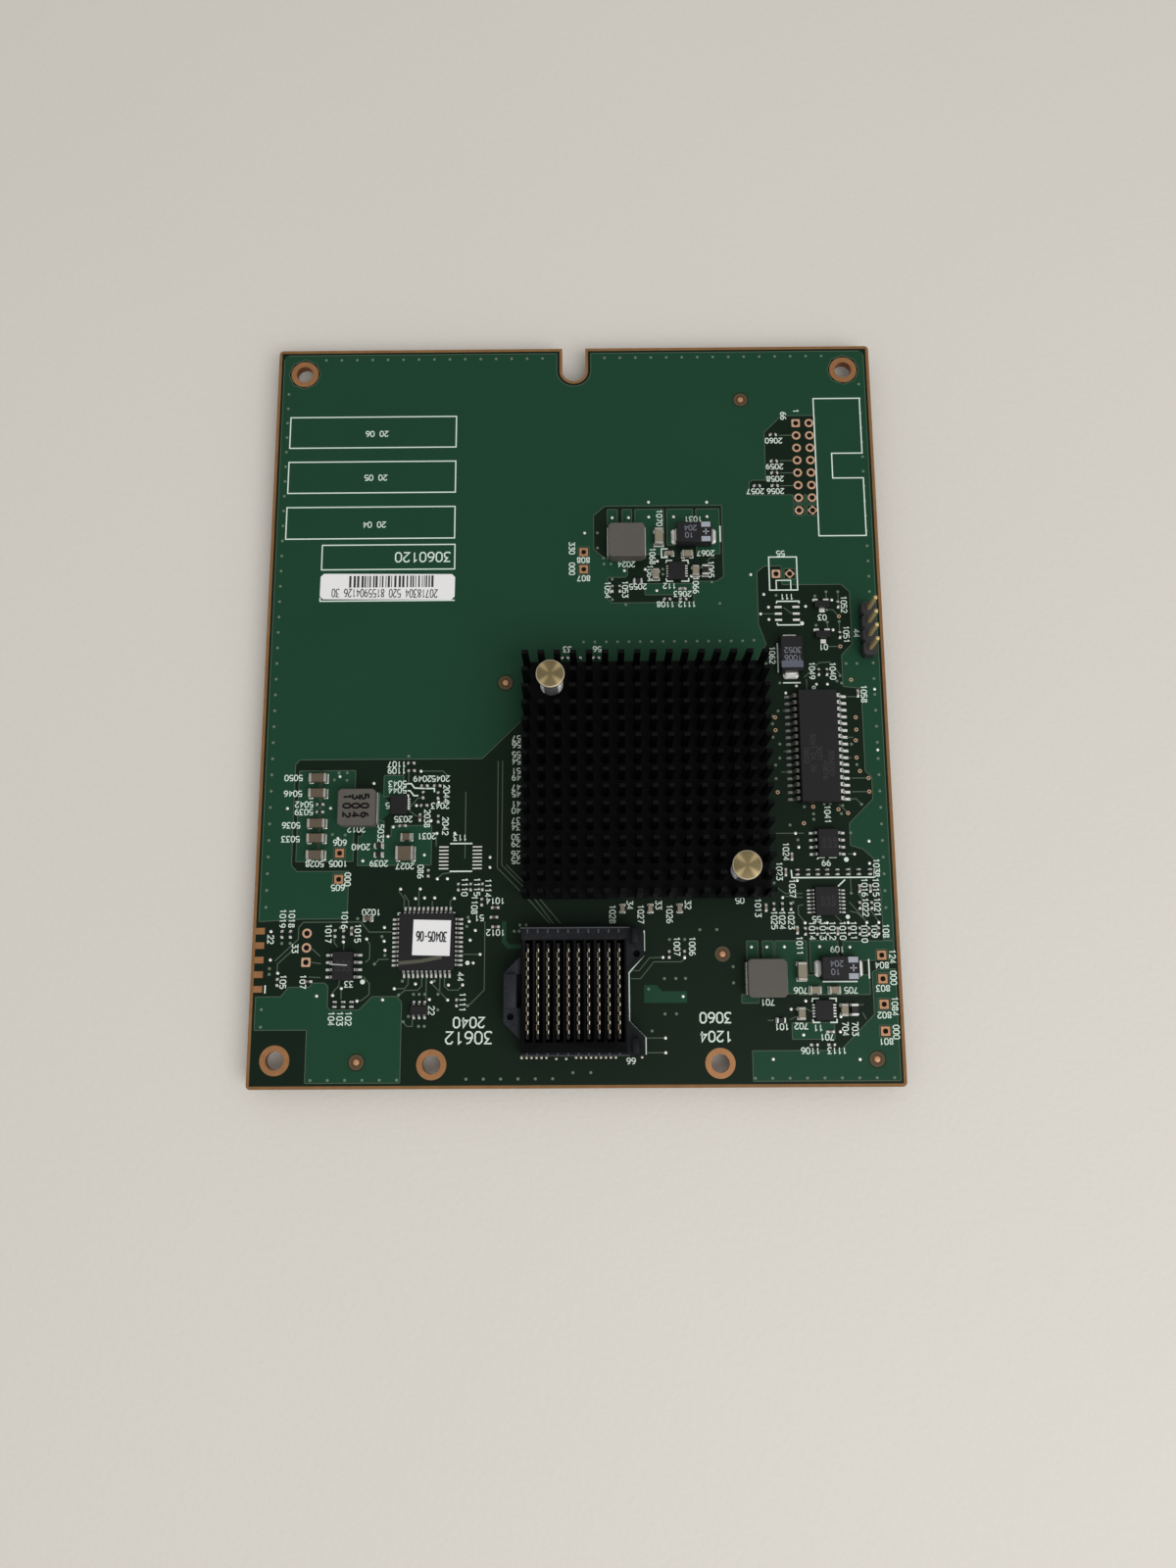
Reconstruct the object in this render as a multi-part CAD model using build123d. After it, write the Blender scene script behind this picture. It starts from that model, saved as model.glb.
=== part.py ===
"""Storage expansion board: a small circuit board with a mating connector and a pinned heat sink.

Frame: X runs across the board, Y from the connector edge (front) to the notched edge (back),
Z up.  The origin is under the middle of the board, in the plane that its pin tips rest on.
Every length is in millimetres.
"""

import os
from math import cos, pi, sin

from build123d import *

# ------------------------------------------------------------------ board
BOARD_W = 114.3            # across, X
BOARD_D = 139.7            # front to back, Y
BOARD_T = 1.58             # laminate with its solder mask
BOARD_CORNER_R = 0.8
BOARD_LIFT = 2.8           # underside of the board above the rest plane
NOTCH_W = 4.5              # round-ended key slot in the back edge
NOTCH_D = 6.9
NOTCH_X = 0.05
COPPER_T = 0.05            # copper areas standing up under the mask
INK_T = 0.03               # white print
INK_W = 0.28               # width of a printed line
POUR_BORDER = 1.05         # copper stops this far from the edge
POUR_CLEAR = 0.2           # and this far from a bare land

LEFT, RIGHT = -BOARD_W / 2, BOARD_W / 2
FRONT, BACK = -BOARD_D / 2, BOARD_D / 2
BOARD_TOP = BOARD_LIFT + BOARD_T
SEAT = BOARD_TOP + COPPER_T  # every soldered piece stands on this level

# ------------------------------------------------------------------ holes and bare copper
MOUNT_HOLE_D = 3.2
MOUNT_RING_D = 5.3
MOUNT_BACK_INSET = (5.1, 5.0)        # from the side edge and from the back edge
MOUNT_FRONT_INSET = (4.8, 4.9)       # the one in the front left corner
MOUNT_PAIR_X = 25.05                 # two more near the front edge, either side of the middle
MOUNT_PAIR_INSET = 4.1
RING_CLEAR = 0.08                    # land set back from the hole's wall

PAD_D = 1.65                         # through-hole land
PAD_HOLE_W = 0.75
PAD_PITCH = 2.54
SOCKET_ROWS, SOCKET_COLUMNS = 8, 2   # empty sixteen-way footprint near the back right corner
TEST_PAD_W = 1.6
FIDUCIAL_D = 1.0
FINGER_W, FINGER_L, FINGER_PITCH, FINGER_COUNT = 1.15, 1.6, 2.54, 5
FINGER_INSET = 0.55

# ------------------------------------------------------------------ heat sink on the controller
SINK_X, SINK_Y = RIGHT - 44.55, FRONT + 53.85
FIN_COLUMNS, FIN_ROWS = 16, 15
FIN_PITCH_X, FIN_PITCH_Y = 2.81, 2.98
FIN_W, FIN_D, FIN_H = 1.15, 1.05, 7.8
SINK_BASE_T = 2.0
CHIP_W, CHIP_SUBSTRATE_T, CHIP_LID_T, CHIP_LID_STEP = 31.0, 1.1, 1.0, 1.6
PASTE_T = 0.25
PASTE_W = 26.0
PUSH_PIN_X, PUSH_PIN_Y = 16.6, 16.8  # from the middle of the sink, on one diagonal
PIN_HEAD_D, PIN_HEAD_T = 5.0, 0.9
PIN_SHANK_D = 2.2
PIN_BARB_D, PIN_TIP_D = 3.1, 1.2
PIN_CLEAR = 0.15                     # round the shank and the barb in their holes
PIN_CATCH_GAP = 0.3                  # barb below the board
PIN_SPRING_L = 7.4                   # squeezed, from sink base to head
FIN_CLEARANCE_R = 3.6                # fins nearer than this to a pin are cut away
COIL_WIRE, COIL_D, COIL_TURNS = 0.55, 4.3, 3.5

SINK_W = (FIN_COLUMNS - 1) * FIN_PITCH_X + FIN_W
SINK_D = (FIN_ROWS - 1) * FIN_PITCH_Y + FIN_D
LID_TOP = SEAT + CHIP_SUBSTRATE_T + CHIP_LID_T
SINK_Z = LID_TOP + PASTE_T
SINK_FLOOR = SINK_Z + SINK_BASE_T
HEAD_Z = SINK_FLOOR + PIN_SPRING_L
PUSH_PINS = [(SINK_X - PUSH_PIN_X, SINK_Y + PUSH_PIN_Y), (SINK_X + PUSH_PIN_X, SINK_Y - PUSH_PIN_Y)]

# ------------------------------------------------------------------ mating connector
PLUG_X, PLUG_FRONT_INSET = -0.05, 5.55   # middle of the ten wafers; front wall from the board edge
PLUG_L, PLUG_H = 21.9, 5.0             # along Y, up
WAFERS, WAFER_PITCH = 10, 1.75
SLOT_W, SLOT_L, SLOT_DEPTH = 1.25, 17.2, 3.6
WAFER_T, WAFER_H, WAFER_OFFSET = 0.5, 3.0, 0.25   # each wafer stands off its slot's middle
WAFER_END_CLEAR = 0.45
CONTACT_ROW_L, CONTACT_T, CONTACT_RISE = 14.6, 0.22, 0.18
PLUG_SIDE_WALL = 0.75                  # outside the first and the last slot
EAR_REACH, EAR_HALF_L, EAR_RUN = 2.95, 4.2, 2.9   # left ear beyond the side wall, and its slopes
LUG_REACH, LUG_L = 2.75, 5.0           # the two right corner lugs
KEY_BLOCK_W, KEY_BLOCK_L, KEY_BLOCK_H = 2.1, 5.7, 1.2
POLARITY_HOLE_D = 1.1
GUIDE_POST_W, GUIDE_POST_L, GUIDE_POST_H = 1.1, 2.6, 1.4

PLUG_Y = FRONT + PLUG_FRONT_INSET + PLUG_L / 2
PLUG_HALF_W = ((WAFERS - 1) * WAFER_PITCH + SLOT_W) / 2 + PLUG_SIDE_WALL
SLOT_FLOOR = SEAT + PLUG_H - SLOT_DEPTH

# ------------------------------------------------------------------ pin header at the right edge
HEADER_WAYS = 4
HEADER_EDGE_INSET = 3.1
HEADER_Y = FRONT + 81.75
HEADER_BASE_W, HEADER_BASE_H, HEADER_WAIST = 2.5, 2.54, 0.45
HEADER_PIN_W, HEADER_PIN_UP, HEADER_PIN_DOWN = 0.64, 8.5, 1.4

# ------------------------------------------------------------------ leaded packages
# body length along the lead rows, body width, height, pitch, leads a side, reach and lead width
SOP32 = dict(length=20.6, width=7.3, height=2.5, pitch=1.27, count=16, reach=1.75, lead_w=0.45,
             knee=0.4)
SO8 = dict(length=4.95, width=3.9, height=1.5, pitch=1.27, count=4, reach=1.1, lead_w=0.42)
TSSOP14 = dict(length=5.0, width=4.4, height=1.05, pitch=0.65, count=7, reach=1.05, lead_w=0.26)
SOT6 = dict(length=2.9, width=1.7, height=1.2, pitch=0.95, count=3, reach=0.65, lead_w=0.4)
QFP44 = dict(length=10.0, width=10.0, height=1.5, pitch=0.8, count=11, reach=1.1, lead_w=0.36)
PACKAGE_LIFT = 0.12                    # body above the board
LEAD_T = 0.16
MOULD_DRAFT = 0.18                     # how far each moulded half leans in
LABEL_T = 0.06

# places from the right or left edge and from the front edge of the board
SOP32_AT = (13.1, 59.9)
SO8_RIGHT_AT = (12.05, 42.3)
SO8_LEFT_AT = (16.4, 21.1)
TSSOP14_AT = (12.65, 32.0)
QFP44_AT = (31.05, 25.2)
SOT6_AT = (29.85, 13.45)
TAG_W, TAG_L, TAG_TURN = 6.6, 6.2, -1.5

# ------------------------------------------------------------------ power parts
QFN_W, QFN_L, QFN_H = 3.0, 3.4, 0.9
CHOKE_W, CHOKE_L, CHOKE_H, CHOKE_BEVEL = 6.8, 6.65, 3.0, 0.5
CHOKE_TAB_L, CHOKE_TAB_T, CHOKE_TAB_FOOT = 5.6, 0.2, 1.4
TANTALUM_L, TANTALUM_W, TANTALUM_H = 6.5, 4.3, 2.8
TANTALUM_LIFT, TANTALUM_CLIP_W, TANTALUM_CLIP_T = 0.25, 2.4, 0.2
TANTALUM_BAND = 1.25
CHIP_SIZES = {                         # length, width, height, end cap
    "1210": (3.2, 2.5, 2.0, 0.5),
    "1206": (3.2, 1.6, 1.5, 0.5),
    "0805": (2.0, 1.25, 1.1, 0.4),
    "0603": (1.6, 0.85, 0.75, 0.32),
    "0402": (1.05, 0.55, 0.45, 0.25),
}

# ------------------------------------------------------------------ printed frames and the label
FRAME_LEFT, FRAME_W, FRAME_H = 2.65, 32.1, 6.55   # three wide frames under each other
FRAME_PITCH, FRAME_BACK_INSET, FRAME_COUNT = 9.22, 13.95, 3
NARROW_LEFT, NARROW_W, NARROW_H = 9.65, 25.2, 5.1
NARROW_BACK_INSET = 40.0
LABEL_W, LABEL_H, LABEL_R, LABEL_TURN = 25.2, 5.0, 0.6, -0.6
LABEL_BACK_INSET = 48.4


# ------------------------------------------------------------------ helpers
def slab(width, depth, height, x=0.0, y=0.0, z=0.0):
    """Box standing on z, centred on x and y."""
    return Pos(x, y, z) * Box(width, depth, height, align=(Align.CENTER, Align.CENTER, Align.MIN))


def prism(points, z, height):
    """Polygon extruded up from z."""
    return Pos(0, 0, z) * extrude(make_face(Polyline(*points, close=True)), height)


def disc(diameter, height, x=0.0, y=0.0, z=0.0):
    """Cylinder standing on z."""
    foot = (Align.CENTER, Align.CENTER, Align.MIN)
    return Pos(x, y, z) * Cylinder(diameter / 2, height, align=foot)


def facets(across, sides, height, x, y, z):
    """Prism with this many sides, its flats this far apart, standing on z."""
    plan = RegularPolygon(across / 2, sides, major_radius=False)
    return Pos(x, y, z) * extrude(plan, height)


def outline(width, depth, x, y, line=INK_W):
    """Rectangular printed line, centred on x and y."""
    inner = slab(width - 2 * line, depth - 2 * line, INK_T, x, y, SEAT)
    return slab(width, depth, INK_T, x, y, SEAT) - inner


def steps(count, pitch):
    """Offsets of count things at one pitch, centred on zero."""
    return [(i - (count - 1) / 2) * pitch for i in range(count)]


def write(name, solids):
    """Write one node: a solid, or a group of separate solids."""
    if isinstance(solids, (list, tuple)):
        solids = Compound(children=[piece for item in solids for piece in item.solids()])
    export_step(solids, f"parts/{name}.step")


# ------------------------------------------------------------------ board
def mount_holes():
    side, back = MOUNT_BACK_INSET
    corner, front = MOUNT_FRONT_INSET
    return [(LEFT + side, BACK - back), (RIGHT - side, BACK - back),
            (LEFT + corner, FRONT + front),
            (-MOUNT_PAIR_X, FRONT + MOUNT_PAIR_INSET), (MOUNT_PAIR_X, FRONT + MOUNT_PAIR_INSET)]


def socket_pads():
    """Sixteen lands of the empty socket, then the two-way and three-way ones."""
    sixteen = [(RIGHT - 13.35 + dx, BACK - 24.95 + dy)
               for dx in steps(SOCKET_COLUMNS, PAD_PITCH) for dy in steps(SOCKET_ROWS, PAD_PITCH)]
    two = [(RIGHT - 18.15 + dx, BACK - 46.45) for dx in steps(2, PAD_PITCH)]
    three = [(LEFT + 9.65, FRONT + 24.35 + dy) for dy in steps(3, PAD_PITCH)]
    return sixteen + two + three


def test_points():
    right = [(RIGHT - 3.3, FRONT + dy) for dy in (22.5, 18.4, 14.0, 9.4)]
    left = [(LEFT + 14.95, FRONT + dy) for dy in (41.15, 36.45)]
    middle = [(1.8, BACK - dy) for dy in (41.85, 45.25)]
    return right + left + middle


def board_plate(thickness, z, border=0.0):
    """The board's outline with its notch, drawn in by border on every edge."""
    plate = slab(BOARD_W - 2 * border, BOARD_D - 2 * border, thickness, 0, 0, z)
    plate = fillet(plate.edges().filter_by(Axis.Z), BOARD_CORNER_R)
    width = NOTCH_W + 2 * border
    centre = BACK - NOTCH_D + NOTCH_W / 2
    slot = disc(width, thickness, NOTCH_X, centre, z)
    slot += slab(width, BACK - centre + 1, thickness, NOTCH_X, (BACK + centre + 1) / 2, z)
    return plate - slot


def circuit_board():
    """The board with every hole that goes through it."""
    t, z = BOARD_T, BOARD_LIFT
    holes = [disc(MOUNT_HOLE_D, t, x, y, z) for x, y in mount_holes()]
    holes += [facets(PIN_BARB_D + 2 * PIN_CLEAR, 8, t, x, y, z) for x, y in PUSH_PINS]
    holes += [slab(PAD_HOLE_W, PAD_HOLE_W, t, x, y, z) for x, y in socket_pads() + test_points()]
    holes += [slab(HEADER_PIN_W, HEADER_PIN_W, t, x, y, z) for x, y in header_pins()]
    return board_plate(t, z) - holes


def mounting_lands(x, y):
    """Bare copper land round a mounting hole on each face of the board."""
    washer = facets(MOUNT_RING_D, 12, COPPER_T, 0, 0, 0)
    washer -= facets(MOUNT_HOLE_D + 2 * RING_CLEAR, 12, COPPER_T, 0, 0, 0)
    return [Pos(x, y, z) * washer for z in (BOARD_TOP, BOARD_LIFT - COPPER_T)]


def land(x, y, square=False):
    """Bare copper ring, or square, round one plated hole."""
    hole = slab(PAD_HOLE_W, PAD_HOLE_W, COPPER_T, x, y, BOARD_TOP)
    return facets(PAD_D, 4 if square else 6, COPPER_T, x, y, BOARD_TOP) - hole


def test_pad(x, y):
    return (slab(TEST_PAD_W, TEST_PAD_W, COPPER_T, x, y, BOARD_TOP)
            - slab(PAD_HOLE_W, PAD_HOLE_W, COPPER_T, x, y, BOARD_TOP))


def through_hole_lands():
    places = socket_pads()
    squares = {places[SOCKET_ROWS - 1], places[SOCKET_ROWS * SOCKET_COLUMNS], places[-3]}
    return [land(x, y, (x, y) in squares) for x, y in places]


def fiducial_places():
    return [(RIGHT - 25.05, BACK - 11.1), (SINK_X - 25.3, SINK_Y + 18.7), (RIGHT - 31.25, FRONT + 22.85),
            (LEFT + 19.05, FRONT + 4.55), (RIGHT - 4.95, FRONT + 4.65)]


def fiducials():
    return [facets(FIDUCIAL_D, 8, COPPER_T, x, y, BOARD_TOP) for x, y in fiducial_places()]


def edge_fingers():
    return [slab(FINGER_L, FINGER_W, COPPER_T, LEFT + FINGER_INSET + FINGER_L / 2,
                 FRONT + 22.25 + dy, BOARD_TOP) for dy in steps(FINGER_COUNT, FINGER_PITCH)]


# ------------------------------------------------------------------ copper areas
def upper_pour():
    """Ground area over the back of the board and down both sides of the logic."""
    left, right, back = LEFT + POUR_BORDER, RIGHT - POUR_BORDER, BACK - POUR_BORDER
    points = [(left, back), (right, back), (right, FRONT + 25.1), (RIGHT - 2.9, FRONT + 25.1),
              (RIGHT - 2.9, FRONT + 33.5), (RIGHT - 3.9, FRONT + 39.6), (RIGHT - 5.7, FRONT + 41.3),
              (RIGHT - 7.9, FRONT + 42.0), (RIGHT - 7.9, FRONT + 46.0), (RIGHT - 3.5, FRONT + 50.4),
              (RIGHT - 3.5, FRONT + 54.5), (RIGHT - 4.6, FRONT + 55.5), (RIGHT - 4.6, FRONT + 71.0),
              (RIGHT - 7.9, FRONT + 71.4), (RIGHT - 7.9, FRONT + 77.4), (RIGHT - 5.9, FRONT + 79.5),
              (RIGHT - 5.9, FRONT + 89.6), (RIGHT - 7.4, FRONT + 91.1), (RIGHT - 18.4, FRONT + 91.1),
              (RIGHT - 18.4, FRONT + 94.8), (RIGHT - 21.6, FRONT + 94.8), (RIGHT - 23.0, FRONT + 93.6),
              (RIGHT - 23.0, FRONT + 83.4), (RIGHT - 21.7, FRONT + 79.6),
              (RIGHT - 23.6, FRONT + 76.4), (RIGHT - 23.6, FRONT + 70.8), (-4.2, FRONT + 70.8),
              (-16.8, FRONT + 58.3), (LEFT + 7.2, FRONT + 58.3),
              (LEFT + 6.4, FRONT + 57.4), (LEFT + 6.4, FRONT + 39.0), (LEFT + 7.4, FRONT + 37.9),
              (LEFT + 16.7, FRONT + 37.9), (LEFT + 16.7, FRONT + 29.4), (LEFT + 8.6, FRONT + 29.4),
              (left, FRONT + 29.0)]
    pour = prism(points, BOARD_TOP, COPPER_T)
    rim = slab(BOARD_W, BOARD_D, COPPER_T, 0, 0, BOARD_TOP)
    rim -= board_plate(COPPER_T, BOARD_TOP, POUR_BORDER)
    x, y = RIGHT, BACK
    socket_void = [(x - 10.9, y - 14.5), (x - 17.3, y - 14.5), (x - 20.7, y - 17.9),
                   (x - 20.7, y - 27.7), (x - 23.4, y - 27.7), (x - 23.9, y - 28.3),
                   (x - 23.9, y - 30.7), (x - 10.9, y - 30.7)]
    supply_void = [(3.7, y - 34.6), (5.8, y - 32.7), (27.9, y - 32.7), (27.9, y - 46.9),
                   (26.6, y - 47.8), (22.3, y - 47.8), (22.3, y - 51.9), (7.0, y - 51.9),
                   (6.3, y - 51.2), (6.3, y - 46.9), (9.6, y - 46.9), (10.0, y - 46.4),
                   (10.0, y - 43.1), (5.7, y - 43.1), (3.7, y - 41.3)]
    return pour - rim - [prism(p, BOARD_TOP, COPPER_T) for p in (socket_void, supply_void)]


def front_pours():
    """The copper areas along the front edge, left and right."""
    x, y, edge = LEFT, FRONT, POUR_BORDER
    left = [(x + edge, y + 15.85), (x + 5.4, y + 15.85), (x + 6.8, y + 17.5), (x + 10.4, y + 17.5),
            (x + 11.0, y + 18.2), (x + 13.1, y + 18.2), (x + 13.7, y + 17.6), (x + 13.7, y + 14.1),
            (x + 14.2, y + 13.5), (x + 19.2, y + 13.5), (x + 21.5, y + 15.8), (x + 25.8, y + 15.8),
            (x + 26.7, y + 14.8), (x + 26.7, y + edge), (x + 10.2, y + edge), (x + 10.2, y + 10.1),
            (x + edge, y + 10.1)]
    x = RIGHT
    right = [(x - 26.5, y + 6.2), (x - 11.4, y + 6.2), (x - 10.6, y + 6.8), (x - 5.1, y + 12.3),
             (x - 5.1, y + 19.6), (x - 4.0, y + 20.1), (x - edge, y + 20.1), (x - edge, y + edge),
             (x - 26.5, y + edge)]
    return [prism(points, BOARD_TOP, COPPER_T) for points in (left, right)]


def supply_pours():
    """Small copper areas of the three supplies: width, depth, left edge and front edge."""
    right = [(2.0, 3.3, -27.0, 21.8), (1.9, 3.3, -24.2, 21.8), (5.6, 9.2, -22.0, 15.9),
             (5.0, 5.4, -15.9, 19.7), (8.9, 3.4, -10.0, 21.6), (12.5, 3.4, -18.1, 15.7),
             (7.4, 2.8, -19.5, 8.1), (3.0, 1.5, -28.1, 14.3)]
    middle = [(1.9, 3.2, 6.3, -36.6), (1.8, 3.2, 9.1, -36.6), (5.4, 9.0, 11.5, -42.4),
              (4.9, 7.2, 17.5, -40.6), (4.4, 9.0, 23.0, -42.4), (8.8, 2.2, 13.2, -50.4)]
    left = [(3.9, 16.6, 7.15, 39.65), (6.1, 16.6, 11.3, 39.65), (3.6, 3.9, 22.6, 51.4),
            (13.2, 5.3, 18.2, 38.9), (7.3, 7.2, 24.1, 38.9), (3.9, 3.0, 18.9, 44.0)]
    places = [(w, d, RIGHT + x, FRONT + y) for w, d, x, y in right]
    places += [(w, d, x, BACK + y) for w, d, x, y in middle]
    places += [(w, d, LEFT + x, FRONT + y) for w, d, x, y in left]
    return [slab(w, d, COPPER_T, x + w / 2, y + d / 2, BOARD_TOP) for w, d, x, y in places]


def copper_pours():
    """All copper areas, kept clear of the bare lands that stand in them."""
    small = [(PAD_D + 2 * POUR_CLEAR, place) for place in socket_pads() + test_points()]
    small += [(3 * FIDUCIAL_D, place) for place in fiducial_places()]
    small += [(PIN_BARB_D + 2 * PIN_CLEAR, place) for place in PUSH_PINS]
    cuts = [slab(wide, wide, COPPER_T, x, y, BOARD_TOP) for wide, (x, y) in small]
    cuts += [slab(HEADER_PIN_W, HEADER_PIN_W, COPPER_T, x, y, BOARD_TOP) for x, y in header_pins()]
    cuts += [facets(MOUNT_RING_D + 2 * POUR_CLEAR, 8, COPPER_T, x, y, BOARD_TOP)
             for x, y in mount_holes()]
    areas = upper_pour() + front_pours() + supply_pours()
    return areas - cuts


# ------------------------------------------------------------------ print
def print_frames():
    marks = []
    for i in range(FRAME_COUNT):
        y = BACK - FRAME_BACK_INSET - i * FRAME_PITCH - FRAME_H / 2
        marks.append(outline(FRAME_W, FRAME_H, LEFT + FRAME_LEFT + FRAME_W / 2, y))
    marks.append(outline(NARROW_W, NARROW_H, LEFT + NARROW_LEFT + NARROW_W / 2,
                         BACK - NARROW_BACK_INSET - NARROW_H / 2))
    x, y = RIGHT, BACK
    shroud = [(x - 11.2, y - 10.9), (x - 2.1, y - 10.9), (x - 2.1, y - 22.3), (x - 7.8, y - 22.3),
              (x - 7.8, y - 27.6), (x - 2.1, y - 27.6), (x - 2.1, y - 39.1), (x - 11.2, y - 39.1)]
    face = make_face(Polyline(*shroud, close=True))
    marks.append(Pos(0, 0, SEAT) * extrude(face - offset(face, -INK_W, kind=Kind.INTERSECTION), INK_T))
    return marks


def label():
    """Paper sticker, a little askew in the frame under the narrow one."""
    x = LEFT + NARROW_LEFT + LABEL_W / 2
    y = BACK - LABEL_BACK_INSET
    plan = chamfer(Rectangle(LABEL_W, LABEL_H).vertices(), LABEL_R)
    blank = extrude(plan, LABEL_T)
    return Pos(x, y, SEAT) * Rot(0, 0, LABEL_TURN) * blank


# ------------------------------------------------------------------ heat sink group
def heat_sink():
    """Pin-fin block: one base with a grid of square fins, two of its places kept for the pins."""
    base = slab(SINK_W, SINK_D, SINK_BASE_T, SINK_X, SINK_Y, SINK_Z)
    bore = PIN_SHANK_D + 2 * PIN_CLEAR
    base -= [facets(bore, 8, SINK_BASE_T, x, y, SINK_Z) for x, y in PUSH_PINS]
    fins = []
    for dx in steps(FIN_COLUMNS, FIN_PITCH_X):
        for dy in steps(FIN_ROWS, FIN_PITCH_Y):
            x, y = SINK_X + dx, SINK_Y + dy
            if all((x - px) ** 2 + (y - py) ** 2 > FIN_CLEARANCE_R ** 2 for px, py in PUSH_PINS):
                fins.append(Pos(x, y) * Rectangle(FIN_W, FIN_D))
    return base + Pos(0, 0, SINK_FLOOR) * extrude(Sketch() + fins, FIN_H)


def controller():
    """Ball-grid package: a square substrate with a smaller moulded top."""
    top = CHIP_W - 2 * CHIP_LID_STEP
    return (slab(CHIP_W, CHIP_W, CHIP_SUBSTRATE_T, SINK_X, SINK_Y, SEAT)
            + slab(top, top, CHIP_LID_T, SINK_X, SINK_Y, SEAT + CHIP_SUBSTRATE_T))


def thermal_paste():
    return slab(PASTE_W, PASTE_W, PASTE_T, SINK_X, SINK_Y, LID_TOP)


def push_pin(x, y):
    """Flat round head, shank through the sink, and a tapered barb under the board."""
    catch = BOARD_LIFT - PIN_CATCH_GAP
    pin = facets(PIN_HEAD_D, 20, PIN_HEAD_T, x, y, HEAD_Z)
    pin += facets(PIN_SHANK_D, 8, HEAD_Z - catch, x, y, catch)
    barb, tip = (RegularPolygon(d / 2, 8, major_radius=False) for d in (PIN_BARB_D, PIN_TIP_D))
    return pin + Pos(x, y, 0) * loft([tip, Pos(0, 0, catch) * barb])


def coil_spring(x, y):
    """Open coil of square section, six straight steps to a turn, from the sink to the head."""
    count = int(COIL_TURNS * 6)
    rise, radius = (PIN_SPRING_L - 2 * COIL_WIRE) / count, (COIL_D - COIL_WIRE) / 2
    turns = [(radius * cos(i * pi / 3), radius * sin(i * pi / 3), i * rise) for i in range(count + 1)]
    path = Polyline(*turns)
    wire = Plane(path @ 0, z_dir=path % 0) * Rectangle(COIL_WIRE, COIL_WIRE)
    coil = sweep(wire, path, transition=Transition.RIGHT)
    return Pos(x, y, SINK_FLOOR + COIL_WIRE) * coil


# ------------------------------------------------------------------ mating connector
def wafer_places():
    return [PLUG_X + dx for dx in steps(WAFERS, WAFER_PITCH)]


def plug_outline():
    """Plan of the housing: a long block with an ear on the left and a lug at each right corner."""
    left, right = PLUG_X - PLUG_HALF_W, PLUG_X + PLUG_HALF_W
    front, back = PLUG_Y - PLUG_L / 2, PLUG_Y + PLUG_L / 2
    ear_y, ear, lug = PLUG_Y - 1.1, left - EAR_REACH, right + LUG_REACH
    return [(left, front), (lug, front), (lug, front + LUG_L - LUG_REACH + 0.9),
            (right, front + LUG_L + 0.9), (right, back - LUG_L - LUG_REACH),
            (lug, back - LUG_L), (lug, back - 1.2), (lug - 1.2, back), (left, back),
            (left, ear_y + EAR_HALF_L + EAR_RUN), (ear, ear_y + EAR_HALF_L),
            (ear, ear_y - EAR_HALF_L), (left, ear_y - EAR_HALF_L - EAR_RUN)]


def connector_housing():
    body = prism(plug_outline(), SEAT, PLUG_H)
    slots = [slab(SLOT_W, SLOT_L, SLOT_DEPTH, x, PLUG_Y, SLOT_FLOOR) for x in wafer_places()]
    left, right = PLUG_X - PLUG_HALF_W, PLUG_X + PLUG_HALF_W
    top, back, front = SEAT + PLUG_H, PLUG_Y + PLUG_L / 2, PLUG_Y - PLUG_L / 2
    key_x, key_y = left - EAR_REACH + KEY_BLOCK_W / 2 + 0.1, PLUG_Y
    pocket = slab(0.75, KEY_BLOCK_L, SLOT_DEPTH, key_x + KEY_BLOCK_W / 2 + 0.4, key_y, SLOT_FLOOR)
    dots = [(left - EAR_REACH + 1.2, PLUG_Y - 4.3), (right + 1.4, back - 4.7)]
    sockets = [facets(POLARITY_HOLE_D, 6, 2.0, x, y, top - 2.0) for x, y in dots]
    body = body - slots - pocket - sockets
    body += slab(KEY_BLOCK_W, KEY_BLOCK_L, KEY_BLOCK_H, key_x, key_y, top)
    post_x = right + 0.55 + GUIDE_POST_W / 2
    for y in (back - 0.4 - GUIDE_POST_L / 2, front + 0.4 + GUIDE_POST_L / 2):
        body += slab(GUIDE_POST_W, GUIDE_POST_L, GUIDE_POST_H, post_x, y, top)
    return body


def wafers():
    """Insulating blades that stand in the slots."""
    length = SLOT_L - 2 * WAFER_END_CLEAR
    return [slab(WAFER_T, length, WAFER_H, x - WAFER_OFFSET, PLUG_Y, SLOT_FLOOR)
            for x in wafer_places()]


def connector_contacts():
    """One row of spring contacts along each wafer, a little higher than its upper edge."""
    offset_x = (WAFER_T + CONTACT_T) / 2 - WAFER_OFFSET
    return [slab(CONTACT_T, CONTACT_ROW_L, WAFER_H + CONTACT_RISE, x + offset_x, PLUG_Y, SLOT_FLOOR)
            for x in wafer_places()]


# ------------------------------------------------------------------ pin header
def header_pins():
    return [(RIGHT - HEADER_EDGE_INSET, HEADER_Y + dy) for dy in steps(HEADER_WAYS, PAD_PITCH)]


def header_base():
    """Four joined blocks, waisted between the ways, with a square hole for each pin."""
    half, waist, bevel = HEADER_BASE_W / 2, HEADER_BASE_W / 2 - HEADER_WAIST, HEADER_WAIST
    right, left = [], []
    for x, y in header_pins():
        for edge, reach in ((-PAD_PITCH / 2, waist), (-PAD_PITCH / 2 + bevel, half),
                            (PAD_PITCH / 2 - bevel, half), (PAD_PITCH / 2, waist)):
            if not (edge == -PAD_PITCH / 2 and right):
                right.append((x + reach, y + edge))
                left.append((x - reach, y + edge))
    base = prism(right + left[::-1], SEAT, HEADER_BASE_H)
    return base - [slab(HEADER_PIN_W, HEADER_PIN_W, HEADER_BASE_H, x, y, SEAT)
                   for x, y in header_pins()]


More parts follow.
